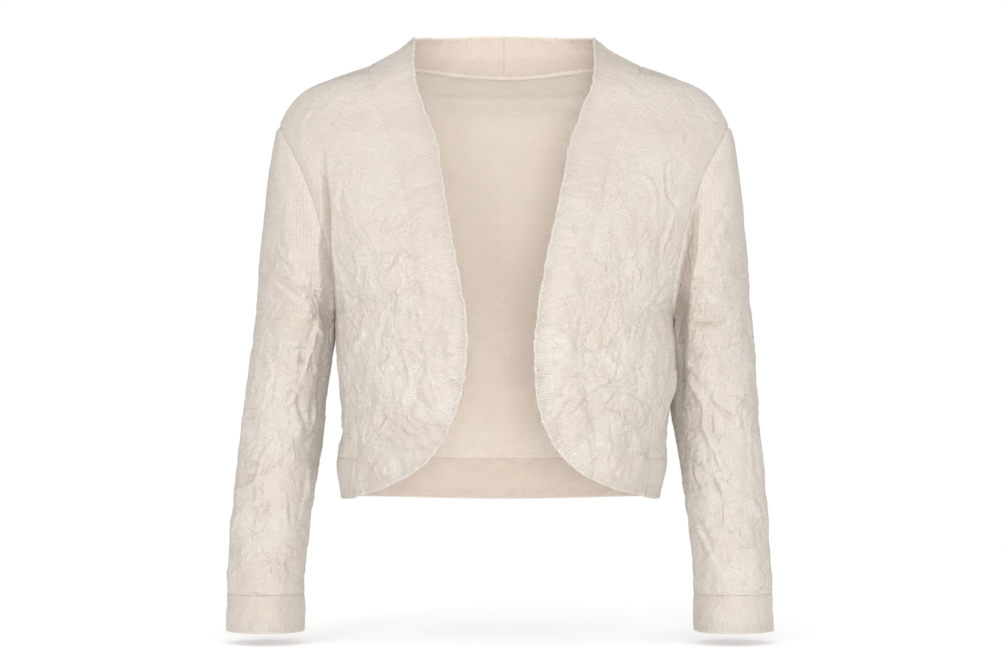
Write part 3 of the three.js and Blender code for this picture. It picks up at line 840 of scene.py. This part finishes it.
def armhole_depth(side, z):
    """How deep the armhole's seam lies: hardly at all at the top of the wearer's right shoulder."""
    depth = {"left": 0.22, "right": 0.02}[side] + 0.2 * smoothstep(-z, 170, 200)
    return depth * (1 - smoothstep(-z, 205, 224)) + 0.25 * smoothstep(UNDERARM_Z - z, 0, 20)


def raised(middle, facing, height):
    return middle + facing * height[..., None]


def fill_armhole(middle, away, side):
    """Brings the cloth forward beside the upper half of an armhole, so that it flows on into the sleeve."""
    z = middle[..., 2]
    upper = plateau(-z, 55, 95, 140, 205)
    front = smoothstep(-middle[..., 1], 10, 40)
    middle[..., 1] -= ARMHOLE_FILL[side] * upper * front * bell(away, 15)


# The fold between a front and its sleeve: its crisp side next to the front, its width and its depth.
ARMPIT_FOLD = {
    "right": Table(
        "z x width depth",
        [-66, 168, 5, 0],
        [-88, 165.5, 6, 3.2],
        [-102, 164, 7, 6],
        [-121, 161, 9, 11],
        [-135, 160, 10, 13],
        [-150, 160, 11, 15],
        [-165, 160, 13, 18],
        [-180, 158.8, 14, 22],
        [-205, 157, 15, 26],
        [-235, 157.5, 14, 24],
        [-270, 157, 12, 14],
        [-310, 157, 12, 0],
    ),
    "left": Table(
        "z x width depth",
        [-106, 181, 7, 0],
        [-121, 178.6, 8, 5],
        [-135, 175.8, 9, 10],
        [-149, 172, 10, 15],
        [-163, 170, 12, 20],
        [-178, 167.2, 13, 24],
        [-192, 164.4, 13, 26],
        [-206, 162.5, 13, 26],
        [-220, 161, 13, 26],
        [-245, 160.5, 13, 22],
        [-280, 160, 12, 12],
        [-315, 160, 12, 0],
    ),
}


def sink_into_fold(middle, side):
    """Sinks the cloth into the fold between a front and its sleeve."""
    fold, z = ARMPIT_FOLD[side], middle[..., 2]
    away = SIGN[side] * middle[..., 0] - fold.x(z)
    wall = smoothstep(away, -0.7, 1.9) * np.clip(1 - away / fold.width(z), 0, 1)
    middle[..., 1] += fold.depth(z) * wall * smoothstep(-middle[..., 1], 8, 30)


def make_back():
    z = even_heights(NECK_Z + UNDER, HEM_SEAM_Z - UNDER, BACK_LINE, True, BACK_ROWS)
    edge = outer_turn(z, True)
    turn = even_turns(z, -edge, edge, BACK_COLUMNS)
    height = z[:, None] + neck_rise(turn) * smoothstep(z, -40, NECK_Z)[:, None]
    plain, facing = body_point(turn, height), body_facing(turn, height)
    down = lengths_along(body_point(BACK_LINE, z), 0)[:, None] + 0 * turn
    relief = body_relief(turn, height)
    for side, sign in SIGN.items():
        relief = sewn(relief, distance_to(plain, outer_line(True, sign)), down, side, height)
    from_neck, from_hem = z[:, None] - NECK_Z, z[:, None] - HEM_SEAM_Z
    relief -= 0.3 * bell(from_neck, 3) + 0.4 * bell(from_hem, 2.5)
    u = lengths_along(plain, 1)
    uv = np.stack([u - u[:, -1:] / 2, -down], -1)
    ridge = 0.7 * bell(from_neck + 1.5, 0.9) + 0.6 * bell(from_hem - 1.8, 1.1) + 0 * turn
    return shell("back_cloth", raised(plain, facing, relief), facing, CLOTH, uv, ridge=ridge)


def make_front(side):
    sign = SIGN[side]
    top, bottom = BAND.seam_z(FRONT_FIRST), BAND.seam_z(FRONT_LAST)
    z = even_heights(top, bottom, FRONT_LINE, False, FRONT_ROWS)
    inner = seam_x(station_of_height(z), side) - UNDER
    turn = sign * front_turns(z, outer_turn(z, False), front_turn(inner, z))
    height = np.broadcast_to(z[:, None], turn.shape)
    plain, facing = body_point(turn, height), body_facing(turn, height)
    down = lengths_along(body_point(FRONT_LINE, z), 0)[:, None] + 0 * turn
    away = distance_to(plain, outer_line(False, sign))
    relief = sewn(body_relief(turn, height), away, down, side, height)
    fill_armhole(plain, away, side)
    relief += seam_dip(distance_to(plain, seam_line(side)), down + 900, BAND_SEAM_SEED, 0.08)
    u = lengths_along(plain, 1)
    uv = np.stack([u[:, -1:] - u, -down], -1)
    middle = raised(plain, facing, relief)
    sink_into_fold(middle, side)
    return shell(f"front_{side}_cloth", middle, facing, CLOTH, uv)


def neck_rise(turn):
    """How far the seam at the back of the neck lies above its middle, up to the top of each shoulder."""
    return NECK_RISE * np.sin(np.radians(2 * np.clip(turn, -90, 90))) ** 2


def band_middle(side):
    """The band's strip as a grid, with a row for each place along it and a column for each place across."""
    sign = SIGN[side]
    share = across_steps(BAND_WIDTH, 18) / BAND_WIDTH
    turns = np.concatenate([[-0.3], np.linspace(0, 90, 60)[:-1]])[:, None]
    top = BAND_TOP_SIDE_Z + (BAND_TOP_BACK_Z - BAND_TOP_SIDE_Z) * np.cos(np.radians(turns)) ** 2
    top = top - CORNER_DROP * smoothstep(turns, 62, 90)

    def straightened(z):
        """The turns where lines across the band's back are upright, for one height or more a line."""
        straight = np.degrees(np.arcsin(np.sin(np.radians(turns)) * BODY.half(top) / BODY.half(z)))
        return turns + (straight - turns) * (1 - smoothstep(turns, 35, 90))

    seam = NECK_Z + neck_rise(straightened(np.full_like(turns, NECK_Z + 1.0)))
    behind_z = top + (seam - top) * share
    behind_turn = straightened(behind_z)

    fine = np.linspace(0, LAST_STATION, 1500)
    edge = body_point(front_turn(BAND.edge_x(fine), BAND.edge_z(fine)), BAND.edge_z(fine))
    station = evenly(fine, lengths_along(edge, 0), 330)[:, None]
    x = BAND.edge_x(station) + (BAND.seam_x(station) - BAND.edge_x(station)) * share
    x = x - sign * BAND.skew(station)
    edge_z = BAND.edge_z(station) - CORNER_DROP * (1 - smoothstep(station, 0, 0.3))
    z = edge_z + (BAND.seam_z(station) - edge_z) * share
    wave = 1.0 * smooth_noise(station * 40, 0 * station + 3.3, 34, WAVE_SEED[side])
    wave += 1.5 * smooth_noise(station * 40, 0 * station + 9.3, 11, RIPPLE_SEED[side])
    settled = plateau(station, 0.4, 1.5, 11.5, 13)
    x = x + wave * settled * (1 - share) ** 2
    turn = sign * np.concatenate([behind_turn, front_turn(x, z)])
    return turn, np.concatenate([behind_z, z])


def make_band(side):
    turn, z = band_middle(side)
    plain, facing = body_point(turn, z), body_facing(turn, z)
    from_edge = lengths_along(plain, 1)
    from_seam = from_edge[:, -1:] - from_edge
    along = lengths_along(plain, 0)
    along = np.broadcast_to(along[:, along.shape[1] // 2][:, None], turn.shape)
    relief = body_relief(turn, z)
    relief += 0.35 * smooth_noise(along, from_edge + 60, 13, BAND_EDGE_SEED) * bell(from_edge, 6)
    in_front = smoothstep(along, 100, 150)
    relief += in_front * (0.6 * bell(from_edge - 1.3, 1.0) - 0.5 * bell(from_edge - 4.2, 1.5))
    thickness = strip_thickness(from_edge, smoothstep(from_seam, 0, 6))
    thickness[0] *= 0.5
    uv = np.stack([along, from_edge], -1)
    return shell(f"band_{side}_rib", raised(plain, facing, relief), facing, thickness, uv)


def make_hem():
    share = across_steps(HEM_WIDTH, 15) / HEM_WIDTH
    side = outer_turn(np.array([HEM_SEAM_Z]), True)[0]
    rough_z = HEM_SEAM_Z + (HEM_CORNER_Z - HEM_SEAM_Z) * share
    edge = outer_turn(rough_z[::-1], True)
    turn = even_turns(np.full(len(share), HEM_SEAM_Z, float), -edge, edge, HEM_COLUMNS)
    corner = np.clip((np.abs(turn) - 90) / (side - 90), 0, 1)
    bottom = HEM_Z + (HEM_CORNER_Z - HEM_Z) * corner**3
    z = bottom + (HEM_SEAM_Z - bottom) * share[:, None]
    plain, facing = body_point(turn, z), body_facing(turn, z)
    from_edge, along = lengths_along(plain, 0), lengths_along(plain, 1)
    from_seam = from_edge[-1] - from_edge
    from_end = np.minimum(along, along[:, -1:] - along)
    relief = body_relief(turn, z) - FLUSH + 0.3 * bell(from_edge - 1.6, 1.1)
    relief += 0.4 * smooth_noise(along, from_edge + 80, 15, HEM_EDGE_SEED) * bell(from_edge, 8)
    full_share = np.minimum(smoothstep(from_seam, 0, 4), smoothstep(from_end, 0, 5))
    thickness = strip_thickness(from_edge, full_share)
    uv = np.stack([along, from_edge], -1)
    return shell("hem_rib", raised(plain, facing, relief), facing, thickness, uv)


# --------------------------------------------------
# Sleeves. angle is in degrees round the arm: 0 at the outside, 90 at the front, 180 next to the body.


def armhole_point(angle):
    radians = np.radians(angle)
    middle = (SHOULDER_POINT_Z + UNDERARM_Z) / 2
    z = middle + (SHOULDER_POINT_Z - middle) * np.cos(radians)
    opening = np.where(np.sin(radians) > 0, ARMHOLE_FRONT_TURN, -ARMHOLE_BACK_TURN)
    point = body_point(90 + opening * armhole_share(z), z)
    return point + (ARMHOLE_GAP, 0, 0)


def inward_share(angle):
    """How far round towards the body an angle lies, 0 to 1."""
    return (1 - np.cos(np.radians(angle))) / 2


def ring_point(ring, angle):
    radians = np.radians(angle)
    outward = (1 + np.cos(radians)) / 2
    x = ring["inner_x"] + (ring["outer_x"] - ring["inner_x"]) * outward
    z = ring["inner_z"] + (ring["outer_z"] - ring["inner_z"]) * outward
    y = ring["middle_y"] - ring["depth"] / 2 * np.sin(radians)
    return np.stack([x, y, z], -1)


def sleeve_point(side, section, angle):
    """Points for each section (rows) and angle (columns), before relief."""
    lines = np.stack([armhole_point(angle), *(ring_point(ring, angle) for ring in RINGS)])
    point = curve_through(np.arange(len(lines)), lines.reshape(len(lines), -1))(section)
    point = point.reshape(len(section), len(angle), 3)
    x, z = point[..., 0], point[..., 2]
    hang = smoothstep(-z, -UNDERARM_Z, -HANG_Z)
    lean = getattr(LEAN, f"sleeve_{side}")(z) * inward_share(angle) ** 2
    point[..., 0] = SIGN[side] * (x + SWING[side] * hang + lean)
    return point


def even_sections(first, last, count):
    fine = np.linspace(first, last, 900)
    line = sleeve_point("left", fine, np.array([SLEEVE_LINE]))[:, 0]
    return evenly(fine, lengths_along(line, 0), count + 1)


def tube_outward(point):
    centre = point.mean(axis=1, keepdims=True)
    return unit_vectors(point - centre)


def tube_uv(point, v, side):
    """The cloth's own places on a sleeve: its wales run straight down, even beside the armhole."""
    x, y, depth = SIGN[side] * point[..., 0], point[..., 1], -point[..., 2]
    # The middle of the arm.
    middle_x = np.interp(depth, [240, 500], [203, 222])
    middle_y = np.interp(depth, [84, 310, 500], [4, 17, 6])
    turn = np.unwrap(np.arctan2(middle_y - y, x - middle_x), axis=1)
    turn += (np.unwrap(turn[:, 0]) - turn[:, 0])[:, None]
    u = turn / (2 * np.pi) * AROUND_ARM
    way = np.sign(turn[:, -1:] - turn[:, :1])
    u = np.concatenate([u, u[:, :1] + way * AROUND_ARM], 1)
    return np.stack([u, np.concatenate([v, v[:, :1]], 1)], -1)


def angles_round(count):
    return 180 + np.arange(count) * (360 / count)


def underarm_seam(angle):
    """The shallow groove of the seam under the arm, 0 to 1."""
    return bell(nearest_step(angle - UNDERARM_ANGLE, 360) * SLEEVE_ARC, 1.5)


def make_sleeve(side):
    section, angle = even_sections(0, CUFF_SECTION, SLEEVE_ROWS), angles_round(SLEEVE_COLUMNS)
    plain = sleeve_point(side, section, angle)
    facing = grid_facing(plain, tube_outward(plain), True)
    section, angle = np.broadcast_arrays(section[:, None], angle)
    z = plain[..., 2]
    down = lengths_along(plain, 0)
    from_cuff = down[-1] - down
    settled = smoothstep(down, 0, 14) * smoothstep(from_cuff, -4, 22)
    relief = settled * sleeve_relief(side, angle, z, section)
    relief += seam_dip(down, angle * SLEEVE_ARC + 500, ARMHOLE_SEED, armhole_depth(side, z))
    gathers = smooth_noise(angle * SLEEVE_ARC, 0 * down + 5.5, AROUND_ARM / 30, GATHER_SEED, 30)
    relief += 0.6 * gathers * bell(from_cuff - 5, 8) - 0.1 * bell(from_cuff, 1.5)
    relief -= 0.5 * underarm_seam(angle)
    relief += 2.6 * bell(z + 240, 15) * inward_share(angle) ** 4
    fill_armhole(plain, down, side)
    middle = raised(plain, facing, relief)
    middle[..., 0] -= SIGN[side] * SLEEVE_TUCK * (1 - smoothstep(down, 0, 6))
    sink_into_fold(middle, side)
    return shell(f"sleeve_{side}_cloth", middle, facing, CLOTH, tube_uv(plain, z, side), wrap=True)


def make_cuff(side):
    share = across_steps(CUFF_LENGTH, 14)[::-1] / CUFF_LENGTH
    section = CUFF_SECTION + (LAST_SECTION - CUFF_SECTION) * (1 - share)
    angle = angles_round(CUFF_COLUMNS)
    plain = sleeve_point(side, section, angle)
    facing = grid_facing(plain, tube_outward(plain), True)
    down = lengths_along(plain, 0)
    from_edge = down[-1] - down
    angle = np.broadcast_to(angle, down.shape)
    u = np.mod(angle, 360) * SLEEVE_ARC
    seed = CUFF_SEED[side]
    relief = 1.2 * smooth_noise(u, down + 30, AROUND_ARM / 9, seed, 9)
    relief += 0.5 * smooth_noise(u, down + 30, AROUND_ARM / 27, seed + 1, 27)
    relief = relief * smoothstep(down, -3, 12) - FLUSH - 0.4 * underarm_seam(angle)
    thickness = strip_thickness(from_edge, smoothstep(down, 0, 4))
    uv = tube_uv(plain, from_edge, side)
    return shell(f"cuff_{side}_rib", raised(plain, facing, relief), facing, thickness, uv, wrap=True)


# --------------------------------------------------
# Materials. Their lengths are metres.

FULL_TURN = 6.2832
WALE_WIDTH = 0.0019
RIB_WIDTH = 0.0021
COURSE_HEIGHT = 0.0015
# The fine folds' cells: how many to a metre, how far a fold reaches from their edges, and how high it is.
FOLD_CELLS = ((24, 0.055, 0.7), (47, 0.075, 0.5), (30, 0.3, 0.5))
# The painted highlight along a rib strip's rolled free edge.
PAINTED_EDGE_HIGHLIGHT = (0.9, 0.86, 0.8, 1)
# The whitish colour painted on the glitter specks as painted glints.
PAINTED_GLINT = (0.93, 0.92, 0.9, 1)


class Nodes:
    """Makes the nodes of a material or a world in short lines."""

    def __init__(self, owner):
        owner.use_nodes = True
        self.owner = owner
        self.tree = owner.node_tree
        self.tree.nodes.clear()

    def add(self, kind, settings=None, **inputs):
        node = self.tree.nodes.new("ShaderNode" + kind)
        for key, value in (settings or {}).items():
            setattr(node, key, value)
        for key, value in inputs.items():
            self.put(node.inputs[key.replace("_", " ")], value)
        return node

    def put(self, socket, value):
        if isinstance(value, bpy.types.NodeSocket):
            self.tree.links.new(value, socket)
        else:
            socket.default_value = value

    def math(self, operation, first, second=0.0, third=None):
        node = self.add("Math", {"operation": operation})
        self.put(node.inputs[0], first)
        self.put(node.inputs[1], second)
        if third is not None:
            self.put(node.inputs[2], third)
        return node.outputs[0]

    def times(self, first, second):
        return self.math("MULTIPLY", first, second)

    def ramp(self, value, low, high, first=0.0, last=1.0):
        """The value carried over from the range low to high to the range first to last."""
        node = self.add("MapRange", From_Min=low, From_Max=high, To_Min=first, To_Max=last, Value=value)
        return node.outputs[0]

    def mix(self, share, first, second):
        node = self.add("Mix", {"data_type": "RGBA"})
        self.put(node.inputs[0], share)
        self.put(node.inputs[6], first)
        self.put(node.inputs[7], second)
        return node.outputs[2]

    def noise(self, place, scale, detail=2.0, roughness=0.5):
        node = self.add("TexNoise", Scale=scale, Detail=detail, Roughness=roughness, Vector=place)
        return node.outputs[0]


def knit_height(nodes, place, cloth, ribbed):
    """The height of the knit: rows of slanting loops in wales, or ribs across a strip."""
    split = nodes.add("SeparateXYZ", Vector=cloth)
    u, v = split.outputs[0], split.outputs[1]
    drift = nodes.times(nodes.noise(place, 60), 0.0012)
    wale = nodes.math("DIVIDE", nodes.math("ADD", u, drift), RIB_WIDTH if ribbed else WALE_WIDTH)
    across = nodes.math("ABSOLUTE", nodes.math("SUBTRACT", nodes.math("FRACT", wale), 0.5))
    course = nodes.math("DIVIDE", v, COURSE_HEIGHT)
    slanting = nodes.math("ADD", course, nodes.times(across, 0.9))
    loops = nodes.math("SINE", nodes.times(slanting, FULL_TURN))
    wale_round = nodes.math("COSINE", nodes.times(across, FULL_TURN))
    loop_share, wale_share = (0.25, 0.75) if ribbed else (0.5, 0.35)
    loops = nodes.times(loops, loop_share)
    knit = nodes.math("ADD", loops, nodes.times(wale_round, -wale_share))
    if ribbed:
        knit = nodes.times(knit, nodes.ramp(v, 0.006, 0.014, 0.75, 0.4))
    return knit, v


def fold_height(nodes, place, low):
    """The height of fine folds: thin ridges and troughs along the edges of wavering cells."""
    wavering = nodes.add("TexNoise", Scale=26.0, Detail=2.0, Vector=place)
    swerve = nodes.add("VectorMath", {"operation": "MULTIPLY_ADD"})
    nodes.put(swerve.inputs[0], wavering.outputs[1])
    swerve.inputs[1].default_value = (0.014, 0.014, 0.014)
    nodes.put(swerve.inputs[2], place)
    folds = 0.0
    for scale, reach, share in FOLD_CELLS:
        settings = {"feature": "DISTANCE_TO_EDGE"}
        cells = nodes.add("TexVoronoi", settings, Scale=scale, Vector=swerve.outputs[0])
        side = nodes.ramp(nodes.noise(place, scale * 0.7), 0.38, 0.62, -share, share)
        folds = nodes.math("MULTIPLY_ADD", nodes.ramp(cells.outputs[0], 0, reach, 1, 0), side, folds)
    return nodes.times(folds, low)


def knit_material(name, colour, shade, ribbed, shine, creased):
    """Fine knit. colour and shade: the yarn's two tones, mixed in random patches; a darker copy of the shade
    is painted into the knit's hollows as painted shade. ribbed: with ribs across the strip, as a band has.
    shine: how much of the metallic yarn shows, in its gloss and glitter, and in the painted sheen and
    glints."""
    nodes = Nodes(bpy.data.materials.new(name))
    cloth = nodes.add("UVMap", {"uv_map": "cloth"}).outputs[0]
    place = nodes.add("TexCoord").outputs["Object"]
    knit, v = knit_height(nodes, place, cloth, ribbed)
    # 1 low down, and near 0 at the shoulders, where the cloth is smooth and gets little of the painted sheen
    # and glints.
    low = nodes.ramp(nodes.add("SeparateXYZ", Vector=place).outputs[2], -0.06, -0.24, 0.1, 1)

    # Each bump's height, strength and distance.
    bumps = (
        (fold_height(nodes, place, low), creased, 0.0022),
        (knit, 0.9, 0.0003),
        (nodes.noise(place, 2600, 3.0, 0.7), 0.45, 0.0004),
        (nodes.noise(place, 620, 2.0, 0.6), 0.6, 0.0009),
        (nodes.noise(place, 190, 4.0, 0.6), 0.5, 0.0014),
    )
    normal = None
    for height, strength, distance in bumps:
        bump = nodes.add("Bump", Strength=strength, Distance=distance, Height=height)
        if normal is not None:
            nodes.put(bump.inputs["Normal"], normal)
        normal = bump.outputs[0]

    patches = nodes.ramp(nodes.noise(place, 14, 3.0, 0.55), 0.35, 0.7)
    tone = nodes.mix(patches, (*colour, 1), (*shade, 1))
    # Painted sheen: whiter patches low down stand in for the shimmer of the metallic yarn.
    painted_sheen_share = nodes.times(nodes.ramp(nodes.noise(place, 27, 3.0), 0.5, 0.64, 0, 0.45 * shine), low)
    painted_sheen_colour = tuple(min(0.97, c * more) for c, more in zip(colour, (1.06, 1.11, 1.17)))
    tone = nodes.mix(painted_sheen_share, tone, (*painted_sheen_colour, 1))
    # Painted shade: the knit's hollows are painted darker, in a darkened copy of the shade tone.
    painted_hollow_shade = tuple(0.72 * c for c in shade)
    tone = nodes.mix(nodes.ramp(knit, -0.9, 0.3, 0.45, 0), tone, (*painted_hollow_shade, 1))
    if ribbed:
        # Painted highlight: a thin lighter strip along the rolled free edge of a rib strip.
        tone = nodes.mix(nodes.ramp(v, 0.0006, 0.0018, 0.3, 0), tone, PAINTED_EDGE_HIGHLIGHT)
    # Specks of metallic yarn: more metallic and glossier, as the yarn is, and also painted whiter as painted
    # glints.
    glitter_and_painted_glint = nodes.ramp(nodes.noise(place, 900, 1.0, 0.5), 0.6, 0.68)
    where = nodes.ramp(nodes.noise(place, 11), 0.4, 0.62, 0.2, 1)
    glitter_and_painted_glint = nodes.times(glitter_and_painted_glint, nodes.times(low, where))
    tone = nodes.mix(nodes.times(glitter_and_painted_glint, 0.36 * shine), tone, PAINTED_GLINT)

    surface = nodes.add(
        "BsdfPrincipled",
        Base_Color=tone,
        Roughness=nodes.math("MULTIPLY_ADD", glitter_and_painted_glint, -0.2 * shine, 0.75 - 0.25 * shine),
        Metallic=nodes.math("MULTIPLY_ADD", glitter_and_painted_glint, 0.5 * shine, 0.22 * shine),
        Specular_IOR_Level=0.35,
        Normal=normal,
        Sheen_Weight=0.4,
        Sheen_Roughness=0.45,
        Sheen_Tint=(1.0, 0.97, 0.93, 1),
    )
    nodes.add("OutputMaterial", Surface=surface.outputs[0])
    return nodes.owner


CLOTH_COLOUR, CLOTH_SHADE = (0.715, 0.655, 0.588), (0.66, 0.58, 0.50)
RIB_COLOUR, RIB_SHADE = (0.618, 0.56, 0.499), (0.578, 0.506, 0.438)
# The inside tones are the wrong side of the knit, without its metallic yarn, and are also painted much
# lighter than the outside, as painted light that makes up for the shade inside the garment.
INSIDE_TONE_PAINTED_LIGHTER, INSIDE_SHADE_PAINTED_LIGHTER = (0.965, 0.875, 0.785), (0.945, 0.84, 0.745)
RIB_INSIDE_PAINTED_LIGHTER, RIB_INSIDE_SHADE_PAINTED_LIGHTER = (0.80, 0.70, 0.61), (0.77, 0.665, 0.57)
MATERIALS = {
    "cloth": (
        knit_material("fine_knit", CLOTH_COLOUR, CLOTH_SHADE, ribbed=False, shine=1, creased=0.6),
        knit_material("fine_knit_inside_painted_lighter", INSIDE_TONE_PAINTED_LIGHTER, INSIDE_SHADE_PAINTED_LIGHTER, ribbed=False, shine=0.1, creased=0.2),
    ),
    "rib": (
        knit_material("fine_rib", RIB_COLOUR, RIB_SHADE, ribbed=True, shine=1, creased=0.4),
        knit_material("fine_rib_inside_painted_lighter", RIB_INSIDE_PAINTED_LIGHTER, RIB_INSIDE_SHADE_PAINTED_LIGHTER, ribbed=True, shine=0.1, creased=0.15),
    ),
}


# --------------------------------------------------
# The pieces. Each is a sheet of cloth, in place of its solid.


def place_piece(piece, node, slot):
    for material in MATERIALS[slot]:
        piece.data.materials.append(material)
    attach(piece, "root")
    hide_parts(node)


place_piece(make_back(), "back", "cloth")
place_piece(make_hem(), "hem_band_back", "rib")
for side in ("left", "right"):
    place_piece(make_front(side), f"front_{side}", "cloth")
    place_piece(make_band(side), f"front_band_{side}", "rib")
    place_piece(make_sleeve(side), f"sleeve_{side}", "cloth")
    place_piece(make_cuff(side), f"cuff_{side}", "rib")


# --------------------------------------------------
# The studio: a white floor, soft light from the front left, and the camera straight on. Lengths are metres.

MIDDLE = (0, 0, -0.25)
FLOOR_Z = -0.542
FLOOR_RADIUS = 1.4
FLOOR_COLOUR = (0.78, 0.78, 0.78, 1)
# How strongly the floor glows for the camera, and on the garment.
FLOOR_GLOW = 0.42
FLOOR_GLOW_ON_CLOTH = 0.315
# How strong the light is from before and from behind.
WORLD_FRONT = 1.14
WORLD_BEHIND = 0.4
WHITE = (1, 1, 1, 1)
CAMERA_PLACE = (0, -3.0, -0.24985)
CAMERA_LENS = 112.8


def make_floor():
    nodes = Nodes(bpy.data.materials.new("floor_paper"))
    seen = nodes.add("LightPath").outputs["Is Camera Ray"]
    glow = nodes.math("MULTIPLY_ADD", seen, FLOOR_GLOW - FLOOR_GLOW_ON_CLOTH, FLOOR_GLOW_ON_CLOTH)
    look = {"Base_Color": FLOOR_COLOUR, "Roughness": 0.9, "Emission_Color": WHITE, "Emission_Strength": glow}
    surface = nodes.add("BsdfPrincipled", **look)
    nodes.add("OutputMaterial", Surface=surface.outputs[0])

    turns = np.linspace(0, 2 * np.pi, 97)[:-1]
    points = [(FLOOR_RADIUS * np.cos(a), FLOOR_RADIUS * np.sin(a), FLOOR_Z) for a in turns]
    mesh = bpy.data.meshes.new("floor")
    mesh.from_pydata(points, [], [tuple(range(len(points)))])
    mesh.materials.append(nodes.owner)
    floor = bpy.data.objects.new("floor", mesh)
    bpy.context.scene.collection.objects.link(floor)


def add_light(name, place, size, power):
    light = bpy.data.lights.new(name, "AREA")
    light.shape = "DISK"
    light.size = size
    light.energy = power
    lamp = bpy.data.objects.new(name, light)
    lamp.location = place
    lamp.rotation_euler = (Vector(MIDDLE) - Vector(place)).to_track_quat("-Z", "Y").to_euler()
    bpy.context.scene.collection.objects.link(lamp)


def make_world():
    sky = Nodes(bpy.data.worlds.new("studio"))
    toward = sky.add("SeparateXYZ", Vector=sky.add("TexCoord").outputs["Generated"])
    dimmed = sky.ramp(toward.outputs["Y"], -0.5, 0.6, WORLD_FRONT, WORLD_BEHIND)
    strength = sky.ramp(sky.add("LightPath").outputs["Is Camera Ray"], 0, 1, dimmed, 1)
    light = sky.add("Background", Color=WHITE, Strength=strength)
    sky.add("OutputWorld", Surface=light.outputs[0])
    bpy.context.scene.world = sky.owner


def make_camera():
    data = bpy.data.cameras.new("camera")
    data.lens = CAMERA_LENS
    data.sensor_width = 36
    data.clip_end = 200
    camera = bpy.data.objects.new("camera", data)
    camera.location = CAMERA_PLACE
    camera.rotation_euler = (np.pi / 2, 0, 0)
    bpy.context.scene.collection.objects.link(camera)
    bpy.context.scene.camera = camera


make_floor()
make_world()
add_light("front", (0.2, -3.6, -0.1), 0.9, 41)
add_light("key", (-1.2, -2.4, 1.8), 0.5, 8)
make_camera()
bpy.context.scene.view_settings.view_transform = "Standard"
